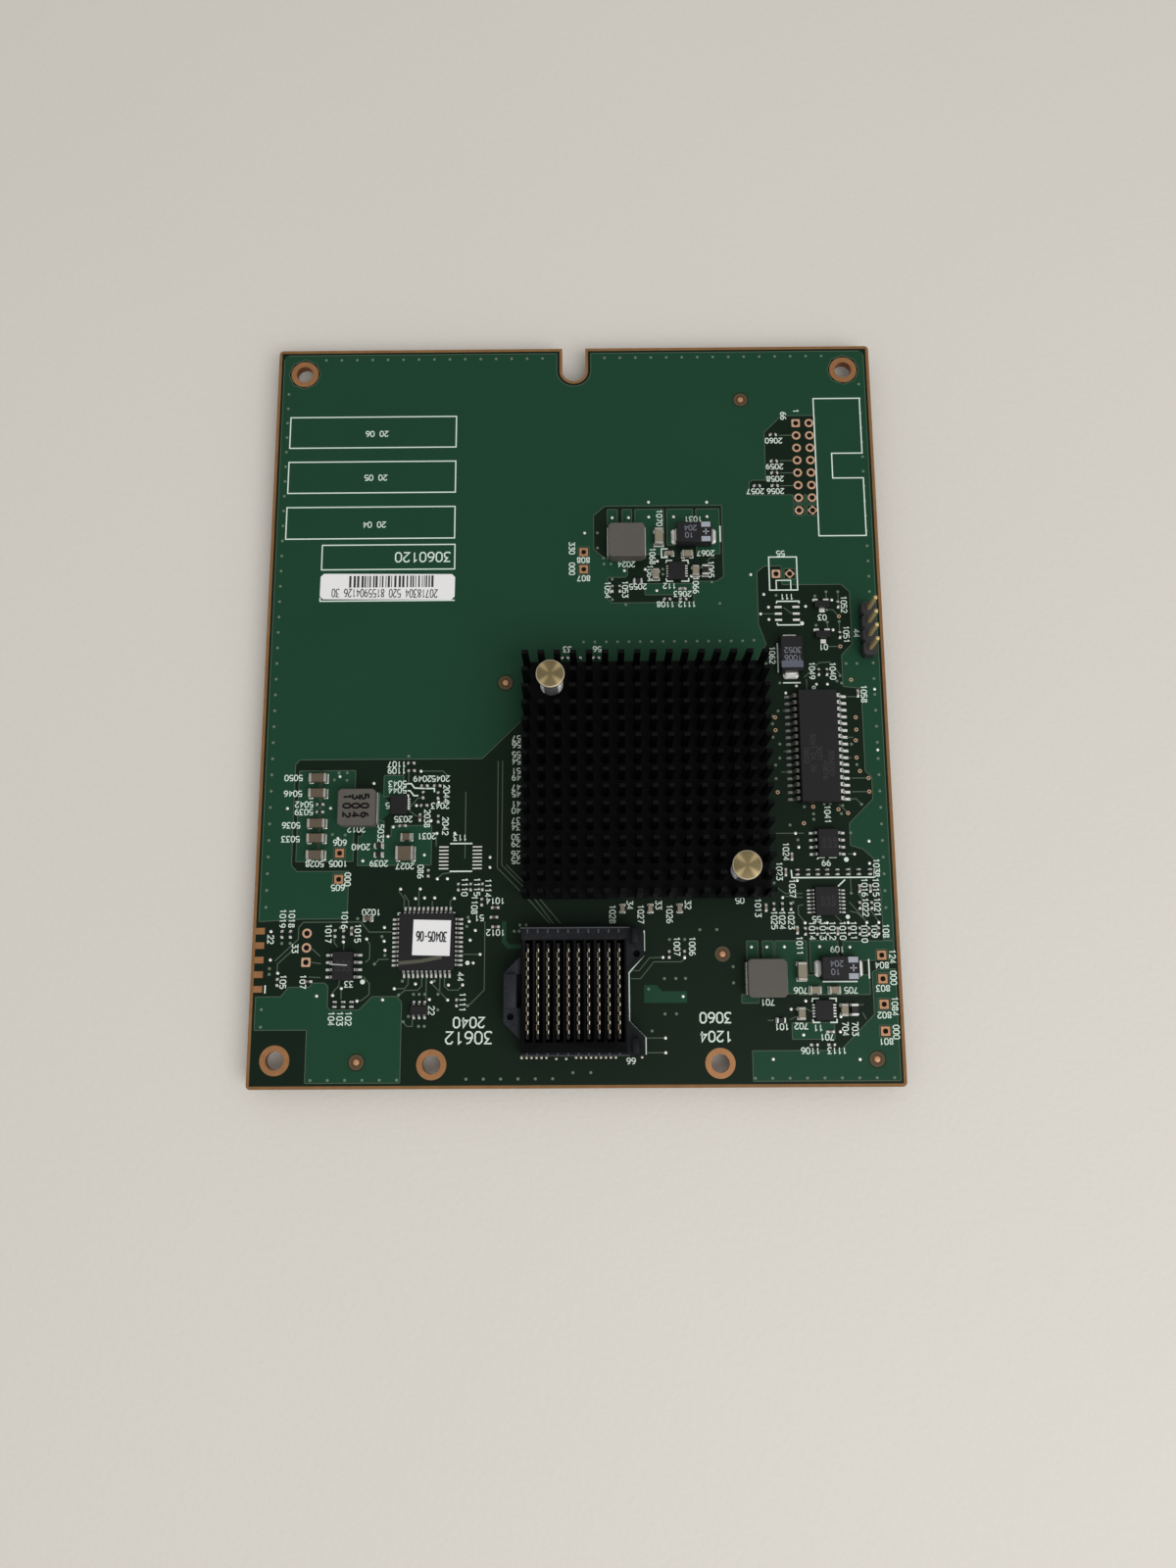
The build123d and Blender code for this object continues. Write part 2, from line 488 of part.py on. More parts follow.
def header_contacts():
    """Square pins with a bevelled tip at each end."""
    foot, top = BOARD_LIFT - HEADER_PIN_DOWN, SEAT + HEADER_PIN_UP
    pins = []
    for x, y in header_pins():
        pin = slab(HEADER_PIN_W, HEADER_PIN_W, top - foot, x, y, foot)
        pins.append(chamfer(pin.faces().sort_by(Axis.Z)[-1].edges(), HEADER_PIN_W * 0.25))
    return pins


# ------------------------------------------------------------------ leaded packages
def moulded_body(length, width, height):
    """Moulded package lying along Y: six-sided section whose halves lean in from the lead line."""
    half, waist = width / 2, PACKAGE_LIFT + (height - PACKAGE_LIFT) / 2
    section = [(half - MOULD_DRAFT, PACKAGE_LIFT), (half, waist), (half - MOULD_DRAFT, height),
               (MOULD_DRAFT - half, height), (-half, waist), (MOULD_DRAFT - half, PACKAGE_LIFT)]
    return extrude(make_face(Plane.XZ * Polyline(*section, close=True)), length / 2, both=True)


def gull_lead(reach, height, width, knee):
    """Lead leaving a body wall at x = 0: a plain slope, or a level knee and a slope to its foot."""
    shoulder = PACKAGE_LIFT + (height - PACKAGE_LIFT) / 2
    side = [(0, shoulder), (reach, LEAD_T), (reach, 0), (0, shoulder - 2 * LEAD_T)]
    if knee:
        side.insert(1, (knee, shoulder))
    return extrude(make_face(Plane.XZ * Polyline(*side, close=True)), width / 2, both=True)


def lead_rows(spec, x, y, sides=2, turn=0):
    """Leads of one package on two or four sides."""
    lead = gull_lead(spec["reach"], spec["height"], spec["lead_w"], spec.get("knee", 0))
    rows = []
    for k in range(sides):
        side = Rot(0, 0, turn + k * 360 / sides)
        for step in steps(spec["count"], spec["pitch"]):
            rows.append(Pos(x, y, SEAT) * side * Pos(spec["width"] / 2, step) * lead)
    return rows


def package(spec, x, y, turn=0):
    body = moulded_body(spec["length"], spec["width"], spec["height"])
    return Pos(x, y, SEAT) * Rot(0, 0, turn) * body


def near(place, side):
    """Board place from a distance in from one side edge and from the front edge."""
    inset, ahead = place
    return (RIGHT - inset if side == "right" else LEFT + inset), FRONT + ahead


def logic_tag(x, y):
    """Paper tag on the square package."""
    blank = slab(TAG_W, TAG_L, LABEL_T)
    return Pos(x + 0.9, y + 0.7, SEAT + QFP44["height"]) * Rot(0, 0, TAG_TURN) * blank


# ------------------------------------------------------------------ power parts
def supply_places():
    """Middle of each choke: front right, back middle and left."""
    return [(RIGHT - 23.85, FRONT + 18.55), (9.8, BACK - 40.55), (LEFT + 18.3, FRONT + 49.05)]


def choke(x, y):
    """Pressed-powder choke: a square block with bevelled corners."""
    block = slab(CHOKE_W, CHOKE_L, CHOKE_H - CHOKE_TAB_T, x, y, SEAT + CHOKE_TAB_T)
    return chamfer(block.edges().filter_by(Axis.Z), CHOKE_BEVEL)


def clip(half, height, thick, foot, width):
    """Strip terminal: a foot under the part, bent up its end wall."""
    side = [(half - foot, 0), (half + thick, 0), (half + thick, height), (half, height),
            (half, thick), (half - foot, thick)]
    return extrude(make_face(Plane.XZ * Polyline(*side, close=True)), width / 2, both=True)


def choke_tabs(x, y):
    tab = clip(CHOKE_W / 2, CHOKE_H * 0.6, CHOKE_TAB_T, CHOKE_TAB_FOOT, CHOKE_TAB_L)
    return [Pos(x, y, SEAT) * Rot(0, 0, turn) * tab for turn in (0, 180)]


def tantalum_places():
    """Place and turn of the three moulded capacitors, their band at the turned right end."""
    return [(RIGHT - 11.05, FRONT + 20.2, 0), (22.45, BACK - 39.1, 0),
            (RIGHT - 17.45, HEADER_Y - 4.7, -90)]


def tantalum(x, y, turn):
    half, waist = TANTALUM_W / 2, TANTALUM_H / 2
    section = [(half - MOULD_DRAFT, TANTALUM_LIFT), (half, waist), (half - MOULD_DRAFT, TANTALUM_H),
               (MOULD_DRAFT - half, TANTALUM_H), (-half, waist), (MOULD_DRAFT - half, TANTALUM_LIFT)]
    body = extrude(make_face(Plane.YZ * Polyline(*section, close=True)), TANTALUM_L / 2, both=True)
    return Pos(x, y, SEAT) * Rot(0, 0, turn) * body


def tantalum_clips(x, y, turn):
    strip = clip(TANTALUM_L / 2, TANTALUM_H / 2, TANTALUM_CLIP_T, 1.3, TANTALUM_CLIP_W)
    return [Pos(x, y, SEAT) * Rot(0, 0, turn + end) * strip for end in (0, 180)]


def tantalum_band(x, y, turn):
    top = TANTALUM_W - 2 * MOULD_DRAFT
    band = slab(TANTALUM_BAND, top, INK_T, TANTALUM_L / 2 - 0.5 - TANTALUM_BAND / 2, 0, TANTALUM_H)
    return Pos(x, y, SEAT) * Rot(0, 0, turn) * band


def chip_body(size, x, y, turn, z=SEAT):
    length, width, height, cap = CHIP_SIZES[size]
    return Pos(x, y, z) * Rot(0, 0, turn) * slab(length - 2 * cap, width - 0.06, height - 0.06, z=0.03)


def chip_ends(size, x, y, turn, z=SEAT):
    length, width, height, cap = CHIP_SIZES[size]
    return [Pos(x, y, z) * Rot(0, 0, turn) * slab(cap, width, height, side * (length - cap) / 2)
            for side in (-1, 1)]


def ceramic_places():
    """Size, place and turn of the tan ceramic capacitors."""
    left = [("1206", 10.8, y, 0) for y in (54.75, 51.95, 46.45, 43.75, 40.75)]
    left += [("1210", 26.85, 40.9, 0), ("0805", 26.95, 43.95, 0), ("0603", 20.4, 29.4, 0)]
    right = [("1206", 17.5, 19.7, 90), ("0805", 15.25, 16.5, 0), ("0805", 11.9, 16.5, 0),
             ("0805", 10.35, 13.1, 90), ("0805", 17.8, 12.5, 90)]
    middle = [("1206", 15.9, 39.25, 90), ("0603", 17.85, 42.35, 0), ("0805", 21.2, 42.55, 0),
              ("0805", 15.25, 46.55, 90), ("0805", 22.7, 45.95, 90)]
    places = [(s, LEFT + x, FRONT + y, t) for s, x, y, t in left]
    places += [(s, RIGHT - x, FRONT + y, t) for s, x, y, t in right]
    places += [(s, x, BACK - y, t) for s, x, y, t in middle]
    return places + [("0603", SINK_X + x, SINK_Y - SINK_D / 2 - 1.5, 90) for x in (-4.25, 0.7, 5.9)]


def resistor_places():
    """Size, place and turn of the dark chip resistors."""
    right = [("0603", 21.4, 11.35, 0), ("0805", 8.6, 13.1, 90)]
    right += [("0402", x, 37.25, 90) for x in (17.55, 15.65, 13.95, 12.25, 10.45, 8.55, 6.65, 4.65)]
    left = [("0603", 22.0, 42.4, 0), ("0603", 22.0, 40.8, 0)]
    left += [("0402", x, 14.5, 90) for x in (14.95, 16.45, 17.9)]
    middle = [("0603", 11.9, 47.75, 0), ("0805", 24.5, 45.85, 90)]
    places = [(s, RIGHT - x, FRONT + y, t) for s, x, y, t in right]
    places += [(s, LEFT + x, FRONT + y, t) for s, x, y, t in left]
    return places + [(s, x, BACK - y, t) for s, x, y, t in middle]


def under_places():
    """Decoupling capacitors under the controller, one near each of its sides."""
    ring = [(0, side * 7.0, 0) for side in (-1, 1)] + [(side * 9.5, 0, 90) for side in (-1, 1)]
    return [("0603", SINK_X + dx, SINK_Y + dy, turn) for dx, dy, turn in ring]


def under_chip(make, size, x, y, turn):
    """The same chip part hung from the underside."""
    height = CHIP_SIZES[size][2]
    return make(size, x, y, turn, BOARD_LIFT - height)


# ------------------------------------------------------------------ assembly
def main():
    os.makedirs("parts", exist_ok=True)
    write("circuit_board", circuit_board())
    write("copper_pours", copper_pours())
    write("mounting_rings", [ring for x, y in mount_holes() for ring in mounting_lands(x, y)])
    write("through_hole_lands", through_hole_lands())
    write("test_pads", [test_pad(x, y) for x, y in test_points()])
    write("fiducials", fiducials())
    write("edge_fingers", edge_fingers())
    write("print_frames", print_frames())
    write("barcode_label", label())

    write("controller_package", controller())
    write("thermal_paste", thermal_paste())
    write("heat_sink", heat_sink())
    write("push_pins", [push_pin(x, y) for x, y in PUSH_PINS])
    write("pin_springs", [coil_spring(x, y) for x, y in PUSH_PINS])

    write("connector_housing", connector_housing())
    write("connector_wafers", wafers())
    write("connector_contacts", connector_contacts())
    write("header_base", header_base())
    write("header_pins", header_contacts())

    sop, logic = near(SOP32_AT, "right"), near(QFP44_AT, "left")
    write("memory_body", package(SOP32, *sop))
    write("memory_leads", lead_rows(SOP32, *sop))
    write("logic_body", package(QFP44, *logic))
    write("logic_leads", lead_rows(QFP44, *logic, sides=4))
    write("logic_tag", logic_tag(*logic))
    small = [(SO8, near(SO8_RIGHT_AT, "right"), 0), (SO8, near(SO8_LEFT_AT, "left"), 0),
             (TSSOP14, near(TSSOP14_AT, "right"), 0), (SOT6, near(SOT6_AT, "left"), 90)]
    write("small_chip_bodies", [package(spec, *at, turn) for spec, at, turn in small])
    write("small_chip_leads", [lead for spec, at, turn in small
                               for lead in lead_rows(spec, *at, turn=turn)])
    chips = [(RIGHT - 13.85, FRONT + 13.05), (19.1, BACK - 45.95), (LEFT + 25.5, FRONT + 49.8)]
    write("regulator_chips", [slab(QFN_W, QFN_L, QFN_H, x, y, SEAT) for x, y in chips])

    write("choke_blocks", [choke(x, y) for x, y in supply_places()])
    write("choke_terminals", [tab for x, y in supply_places() for tab in choke_tabs(x, y)])
    write("tantalum_bodies", [tantalum(*place) for place in tantalum_places()])
    write("tantalum_terminals", [clip for p in tantalum_places() for clip in tantalum_clips(*p)])
    write("tantalum_bands", [tantalum_band(*place) for place in tantalum_places()])
    write("ceramic_bodies", [chip_body(*place) for place in ceramic_places()])
    write("ceramic_ends", [end for place in ceramic_places() for end in chip_ends(*place)])
    write("resistor_bodies", [chip_body(*place) for place in resistor_places()])
    write("resistor_ends", [end for place in resistor_places() for end in chip_ends(*place)])
    write("underside_bodies", [under_chip(chip_body, *place) for place in under_places()])
    write("underside_ends", [end for p in under_places() for end in under_chip(chip_ends, *p)])


if __name__ == "__main__":
    main()
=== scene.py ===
"""Looks of the storage expansion board: materials, fine pieces, stage and camera.

Everything stands in the part's own frame: X across the board, Y towards its notched edge, Z up.
Shapes are worked out in millimetres and put into the meshes in metres.
"""

from functools import reduce
from math import cos, pi, radians, sin

import bmesh
import bpy
import numpy as np
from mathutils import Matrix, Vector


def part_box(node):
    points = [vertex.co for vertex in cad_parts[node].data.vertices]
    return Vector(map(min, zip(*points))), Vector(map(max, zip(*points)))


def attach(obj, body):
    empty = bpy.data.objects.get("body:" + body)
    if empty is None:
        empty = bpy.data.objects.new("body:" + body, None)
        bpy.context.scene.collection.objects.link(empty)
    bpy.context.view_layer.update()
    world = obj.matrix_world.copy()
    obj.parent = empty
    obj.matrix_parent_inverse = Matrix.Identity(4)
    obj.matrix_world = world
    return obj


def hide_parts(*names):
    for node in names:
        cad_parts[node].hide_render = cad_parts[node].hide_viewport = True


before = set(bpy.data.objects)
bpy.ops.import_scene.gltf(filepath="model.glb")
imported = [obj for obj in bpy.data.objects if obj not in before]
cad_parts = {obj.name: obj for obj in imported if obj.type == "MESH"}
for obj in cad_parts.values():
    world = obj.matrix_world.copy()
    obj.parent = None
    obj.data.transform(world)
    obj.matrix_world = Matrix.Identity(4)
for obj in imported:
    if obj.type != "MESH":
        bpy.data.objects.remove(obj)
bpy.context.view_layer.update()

bl_info = {
    "name": "Storage expansion board",
    "version": (1, 0, 0),
    "blender": (4, 5, 0),
    "location": "View3D > Sidebar > Board",
    "description": "Builds the visible pieces of a storage expansion board round its solids",
    "category": "Object",
}

MM = 0.001


def cad(node):
    """Lowest and highest corner of a CAD node, in millimetres."""
    low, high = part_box(node)
    return np.array(low) / MM, np.array(high) / MM


(_, FRONT, _), (RIGHT, BACK, TOP) = cad("circuit_board")
POUR = cad("copper_pours")[1][2]   # face of the mask over copper, a little above the bare TOP
POUR_T = POUR - TOP
INK = 0.03                         # thickness of a printed line
PRINT_T = POUR_T + INK             # print that stands on the bare laminate


# ---------------------------------------------------------------- shapes
def islands(node):
    """Boxes of the separate solids of a CAD node, as arrays of low and high corners.

    Corners that coincide are merged, then every triangle passes the smallest label of its corners
    on until nothing changes.
    """
    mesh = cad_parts[node].data
    co = np.empty(len(mesh.vertices) * 3)
    mesh.vertices.foreach_get("co", co)
    co = co.reshape(-1, 3) / MM
    mesh.calc_loop_triangles()
    tris = np.empty(len(mesh.loop_triangles) * 3, int)
    mesh.loop_triangles.foreach_get("vertices", tris)
    _, same = np.unique(co.round(3), axis=0, return_inverse=True)
    tris = same.reshape(-1)[tris].reshape(-1, 3)
    label, new = None, np.arange(same.max() + 1)
    while label is None or (new != label).any():
        label, new = new, new.copy()
        least = label[tris].min(1)
        for k in range(3):
            np.minimum.at(new, tris[:, k], least)
    own = label[same.reshape(-1)]
    groups = [co[own == k] for k in np.unique(own)]
    return np.array([(g.min(0), g.max(0)) for g in groups])


def middles(node):
    """Middle and size of every separate solid of a CAD node, with its low and high corner."""
    return [((low + high) / 2, high - low, low, high) for low, high in islands(node)]


class Shape:
    """Vertices and faces in millimetres."""

    def __init__(self):
        self.verts, self.faces, self.size = [], [], 0

    def add(self, verts, faces):
        self.verts.append(np.asarray(verts, float).reshape(-1, 3))
        self.faces += [tuple(i + self.size for i in face) for face in faces]
        self.size += len(self.verts[-1])

    def repeat(self, part, places, turn=0):
        """Copies of a part: turned about Z by so many degrees, then moved to the places."""
        verts, faces = part
        c, s = cos(radians(turn)), sin(radians(turn))
        turned = np.asarray(verts, float) @ [(c, s, 0), (-s, c, 0), (0, 0, 1)]
        for place in np.asarray(places, float).reshape(-1, 3):
            self.add(turned + place, faces)
        return self


def loft(loops, closed=False):
    """Surface through loops of equal length: quads between neighbours, and flat ends unless closed."""
    loops = np.asarray(loops, float)
    rows, n = loops.shape[:2]
    faces = []
    for r in range(rows if closed else rows - 1):
        a, b = r * n, (r + 1) % rows * n
        faces += [(a + i, a + (i + 1) % n, b + (i + 1) % n, b + i) for i in range(n)]
    if not closed:
        faces += [tuple(range(n - 1, -1, -1)), tuple(range((rows - 1) * n, rows * n))]
    return loops.reshape(-1, 3), faces


def level(outline, z):
    """A plan outline lifted to one height."""
    outline = np.asarray(outline, float)
    return np.column_stack([outline, np.full(len(outline), z)])


def ring_points(radius, n):
    """n points on a circle, counted anticlockwise."""
    t = np.arange(n) * 2 * pi / n
    return np.column_stack([radius * np.cos(t), radius * np.sin(t)])


def lathe(profile, n):
    """Solid of revolution: each radius and height of the profile becomes one circle of n points."""
    return loft([level(ring_points(r, n), z) for r, z in profile])


def washer(inner, outer, height, n, bevel=0.0):
    """Flat ring: five circles joined end to end, its outer upper edge bevelled."""
    section = [(inner, 0), (outer, 0), (outer, height - bevel), (outer - bevel, height),
               (inner, height)]
    return loft([level(ring_points(r, n), z) for r, z in section], closed=True)


def square_land(half, hole, height, turn=0.0, n=32):
    """Square plate with a round hole: each outer point lies on the ray through its hole point,
    as far out as the largest of its two cosines allows."""
    t = (np.arange(n) + 0.5) * 2 * pi / n
    ray = np.column_stack([np.cos(t), np.sin(t)])
    square = ray * half / np.abs(ray).max(1)[:, None]
    c, s = cos(radians(turn)), sin(radians(turn))
    plans = [p @ [(c, s), (-s, c)] for p in (ray * hole, square, square, ray * hole)]
    return loft([level(p, z) for p, z in zip(plans, (0, 0, height, height))], closed=True)


def block(width, depth, height, bevel=0.0, corner=0.0):
    """Box on z = 0, centred on x and y, with bevelled upper edges and cut corners."""
    def plan(inset):
        w, d, c = width / 2 - inset, depth / 2 - inset, corner
        return [(w, c - d), (w, d - c), (w - c, d), (c - w, d), (-w, d - c), (-w, c - d),
                (c - w, -d), (w - c, -d)] if corner else [(w, -d), (w, d), (-w, d), (-w, -d)]
    loops = [level(plan(0), 0), level(plan(0), height - bevel)]
    if bevel:
        loops.append(level(plan(bevel), height))
    return loft(loops)


def bar(side, width):
    """Profile in X and Z, drawn anticlockwise seen from the front, carried width along Y."""
    x, z = np.array(side, float).T
    return loft([np.column_stack([x, np.full(len(x), y), z]) for y in (width / 2, -width / 2)])


def stroke(points, width, z, height=INK, close=False):
    """Raised line: each point moved sideways by half the width along its mitre."""
    p = np.asarray(points, float)
    ahead, behind = np.roll(p, -1, 0) - p, p - np.roll(p, 1, 0)
    if not close:
        ahead[-1], behind[0] = behind[-1], ahead[0]
    ahead, behind = (v / (np.linalg.norm(v, axis=1)[:, None] + 1e-9) for v in (ahead, behind))
    mid = ahead + behind
    mid /= np.linalg.norm(mid, axis=1)[:, None] + 1e-9
    grow = width / 2 / np.clip((mid * ahead).sum(1), 0.5, 1)
    side = np.column_stack([-mid[:, 1], mid[:, 0]]) * grow[:, None]
    rows = [level(q, h) for q, h in ((p - side, z), (p - side, z + height),
                                     (p + side, z + height), (p + side, z))]
    return loft(np.stack(rows, 1)[::-1], closed=close)


def tube(path, radius, n):
    """Round wire: circles of n points, square to the path, at each of its points."""
    p = np.asarray(path, float)
    t = np.gradient(p, axis=0)
    t /= np.linalg.norm(t, axis=1)[:, None]
    a = np.cross(t, [0.0, 0.0, 1.0])
    a /= np.linalg.norm(a, axis=1)[:, None]
    b = np.cross(t, a)
    x, y = ring_points(radius, n).T[:, None, :, None]
    return loft(p[:, None] + x * a[:, None] + y * b[:, None])


DIGITS = {
    "0": [[(0, .2), (0, .8), (.2, 1), (.45, 1), (.6, .8), (.6, .2), (.45, 0), (.2, 0), (0, .2)]],
    "1": [[(.1, .8), (.33, 1), (.33, 0)]],
    "2": [[(0, .8), (.15, 1), (.45, 1), (.6, .8), (.6, .62), (0, 0), (.6, 0)]],
    "3": [[(0, 1), (.6, 1), (.28, .6), (.5, .55), (.6, .35), (.6, .15), (.42, 0), (.1, 0), (0, .12)]],
    "4": [[(.45, 0), (.45, 1), (0, .3), (.62, .3)]],
    "5": [[(.55, 1), (.05, 1), (0, .55), (.4, .6), (.6, .42), (.6, .18), (.42, 0), (0, .05)]],
    "6": [[(.5, 1), (.2, .9), (0, .5), (0, .18), (.18, 0), (.42, 0), (.6, .18), (.6, .4), (.42, .56),
           (.1, .5)]],
    "7": [[(0, 1), (.6, 1), (.22, 0)]],
    "8": [[(.3, .54), (.05, .72), (.1, .95), (.5, .95), (.55, .72), (.3, .54), (0, .3), (.1, .03),
           (.5, .03), (.6, .3), (.3, .54)]],
    "9": [[(.5, .45), (.15, .42), (0, .62), (.05, .88), (.3, 1), (.55, .88), (.6, .6), (.5, .2),
           (.2, 0)]],
    "+": [[(.3, .2), (.3, .8)], [(0, .5), (.6, .5)]],
    "-": [[(0, .5), (.5, .5)]],
}
DIGIT_W, DIGIT_STEP, DIGIT_LINE = 0.6, 0.85, 0.17   # shares of a digit's height


def number(shape, text, x, y, height, turn=0.0, z=POUR, line=None, squeeze=1.0, step=DIGIT_STEP):
    """Digits drawn with strokes, centred on x and y, their upright turned anticlockwise."""
    step, line = step * height * squeeze, line or DIGIT_LINE * height
    wide = step * (len(text) - 1) + DIGIT_W * height * squeeze
    c, s = cos(radians(turn)), sin(radians(turn))
    for i, mark in enumerate(text):
        for path in DIGITS.get(mark, []):
            p = np.array(path) * [height * squeeze, height] + [i * step - wide / 2, -height / 2]
            shape.add(*stroke(p @ [(c, s), (-s, c)] + [x, y], line, z))


def piece(name, shape, mat, smooth=None, replaces=()):
    """Makes a mesh object of a shape, gives it a material and joins it to the part."""
    mesh = bpy.data.meshes.new(name)
    mesh.from_pydata(np.concatenate(shape.verts) * MM, [], shape.faces)
    mesh.update()
    join(name, mesh, mat, smooth, replaces)


def refined(name, node, mat, bevel, segments=1):
    """Copy of a CAD node with its doubles merged, flat faces joined and edges bevelled."""
    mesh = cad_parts[node].data.copy()
    work = bmesh.new()
    work.from_mesh(mesh)
    bmesh.ops.remove_doubles(work, verts=work.verts, dist=1e-6)
    bmesh.ops.dissolve_limit(work, angle_limit=radians(1), verts=work.verts, edges=work.edges)
    work.to_mesh(mesh)
    work.free()
    mesh.materials.clear()
    join(name, mesh, mat, 40, (node,), bevel, segments)


def join(name, mesh, mat, smooth, replaces, bevel=0.0, segments=1):
    """Bevels and shades a finished mesh, fixes it to the part and hides the CAD nodes it stands for."""
    mesh.materials.append(mat)
    obj = bpy.data.objects.new(name, mesh)
    bpy.context.scene.collection.objects.link(obj)
    if bevel:
        edge = obj.modifiers.new("edges", "BEVEL")
        edge.width, edge.segments = bevel * MM, segments
        edge.limit_method, edge.angle_limit = "ANGLE", radians(30)
    if smooth is not None:
        mesh.polygons.foreach_set("use_smooth", np.ones(len(mesh.polygons), bool))
        mesh.set_sharp_from_angle(angle=radians(smooth))
    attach(obj, "root")
    if replaces:
        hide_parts(*replaces)


def paint(node, mat):
    """Gives a CAD node that stays as it is a better material."""
    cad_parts[node].data.materials[0] = mat


# ---------------------------------------------------------------- materials
def maths(operation, swap=False):
    """Method that adds one Math node for a value and what it is combined with."""
    def method(self, *others):
        values = (*others, self) if swap else (self, *others)
        return self.tree.node("ShaderNodeMath", {"operation": operation}, dict(enumerate(values)))
    return method


class Value:
    """A number at a node's socket; arithmetic on it adds Math nodes."""
    __add__ = __radd__ = maths("ADD")
    __sub__, __rsub__ = maths("SUBTRACT"), maths("SUBTRACT", True)
    __mul__ = __rmul__ = maths("MULTIPLY")
    __truediv__ = maths("DIVIDE")
    __lt__, __gt__ = maths("LESS_THAN"), maths("GREATER_THAN")
    high, low = maths("MAXIMUM"), maths("MINIMUM")
    size, root, wave = maths("ABSOLUTE"), maths("SQRT"), maths("SINE")

    def __init__(self, tree, socket):
        self.tree, self.socket = tree, socket


class Finish:
    """A material and its node tree, with the place in millimetres as a vector and as X, Y and Z."""
    SOCKETS = {"colour": "Base Color", "roughness": "Roughness", "metallic": "Metallic",
               "specular": "Specular IOR Level", "normal": "Normal"}

    def __init__(self, name):
        self.mat = bpy.data.materials.new(name)
        self.mat.use_nodes = True
        self.links, self.nodes = self.mat.node_tree.links, self.mat.node_tree.nodes
        self.shader = self.nodes["Principled BSDF"]
        where = self.node("ShaderNodeTexCoord", output="Object")
        self.where = self.node("ShaderNodeVectorMath", {"operation": "SCALE"},
                               {0: where, "Scale": 1 / MM})
        split = self.node("ShaderNodeSeparateXYZ", None, {0: self.where}).socket.node
        self.x, self.y, self.z = (Value(self, out) for out in split.outputs)

    def node(self, kind, settings=None, inputs=None, output=0):
        """Adds one node: its settings first, then the values or links of its sockets."""
        made = self.nodes.new(kind)
        for key, value in (settings or {}).items():
            setattr(made, key, value)
        for key, value in (inputs or {}).items():
            self.put(made.inputs[key], value)
        return Value(self, made.outputs[output])

    def put(self, socket, value):
        if isinstance(value, Value):
            self.links.new(value.socket, socket)
        elif hasattr(value, "__len__") and len(value) == 3 and len(socket.default_value) == 4:
            socket.default_value = (*value, 1)
        else:
            socket.default_value = value

    def noise(self, scale, detail=2.0, rough=0.5, stretch=None):
        """Noise of so many waves a millimetre, from nought to one."""
        where = self.where
        if stretch:
            where = self.node("ShaderNodeVectorMath", {"operation": "MULTIPLY"},
                              {0: where, 1: stretch})
        return self.node("ShaderNodeTexNoise", None, {"Vector": where, "Scale": scale,
                         "Detail": detail, "Roughness": rough}, "Fac")

    def mix(self, share, one, two):
        """Colour one where share is nought, two where it is one."""
        return self.node("ShaderNodeMix", {"data_type": "RGBA"}, {0: share, 6: one, 7: two}, 2)

    def around(self, share, colour, spread):
        """A colour, from darker to lighter by the spread as share goes from nought to one."""
        return self.mix(share, shade(colour, 1 - spread), shade(colour, 1 + spread))

    def bump(self, height, strength=0.3, distance=0.05):
        self.set(normal=self.node("ShaderNodeBump", None, {
            "Height": height, "Strength": strength, "Distance": distance * MM}))

    def set(self, **values):
        for key, value in values.items():
            self.put(self.shader.inputs[self.SOCKETS[key]], value)
        return self.mat


def shade(colour, factor):
    return tuple(min(1.0, c * factor) for c in colour)


def plastic(name, colour, roughness, grain=6.0, depth=0.02, spread=0.15, specular=0.5):
    """Moulded or fired surface: fine grain, cloudy colour and uneven gloss."""
    f = Finish(name)
    fine, cloud = f.noise(grain, 3), f.noise(0.35, 2)
    f.bump(fine, 0.35, depth)
    return f.set(colour=f.around(fine * 0.6 + cloud * 0.4, colour, spread),
                 roughness=roughness + (cloud - 0.5) * 0.12, specular=specular)


def metal(name, colour, roughness, grain=9.0, depth=0.01, spread=0.12, metallic=1.0):
    """Plated or drawn metal: fine grain and faint stains."""
    f = Finish(name)
    fine, cloud = f.noise(grain, 3), f.noise(0.5, 2)
    f.bump(fine, 0.3, depth)
    return f.set(colour=f.around(cloud * 0.6 + fine * 0.4, colour, spread),
                 roughness=roughness + (fine - 0.5) * 0.15, metallic=metallic)


MATERIALS = {}


def shared(kind, name, *values, **more):
    """One material per name, made at its first use."""
    if name not in MATERIALS:
        MATERIALS[name] = kind(name, *values, **more)
    return MATERIALS[name]


def ink():
    colour = bpy.context.scene.raid_print.ink_colour
    return shared(plastic, "white_print", colour, 0.6, 5, 0.01, 0.10)


def tinned():
    return shared(metal, "tinned_leads", (0.66, 0.66, 0.64), 0.34, 4, metallic=0.75)


def solder():
    return shared(metal, "solder", (0.82, 0.82, 0.79), 0.30, 2.5, 0.05, 0.2, 0.5)


def copper():
    return shared(metal, "bare_copper", (0.33, 0.155, 0.060), 0.42, 2.0, 0.02, 0.3, 0.55)


def coated():
    """Copper land under its clear organic coating, paler than the bare metal."""
    return shared(metal, "coated_copper", (0.58, 0.36, 0.23), 0.45, 2.5, 0.02, 0.2, 0.35)


def epoxy():
    return shared(plastic, "black_epoxy", (0.0125, 0.0125, 0.0132), 0.55, 9, 0.012, 0.25, 0.18)


def glaze():
    return shared(plastic, "resistor_black", (0.010, 0.010, 0.011), 0.35, 7, 0.01, 0.2, 0.3)


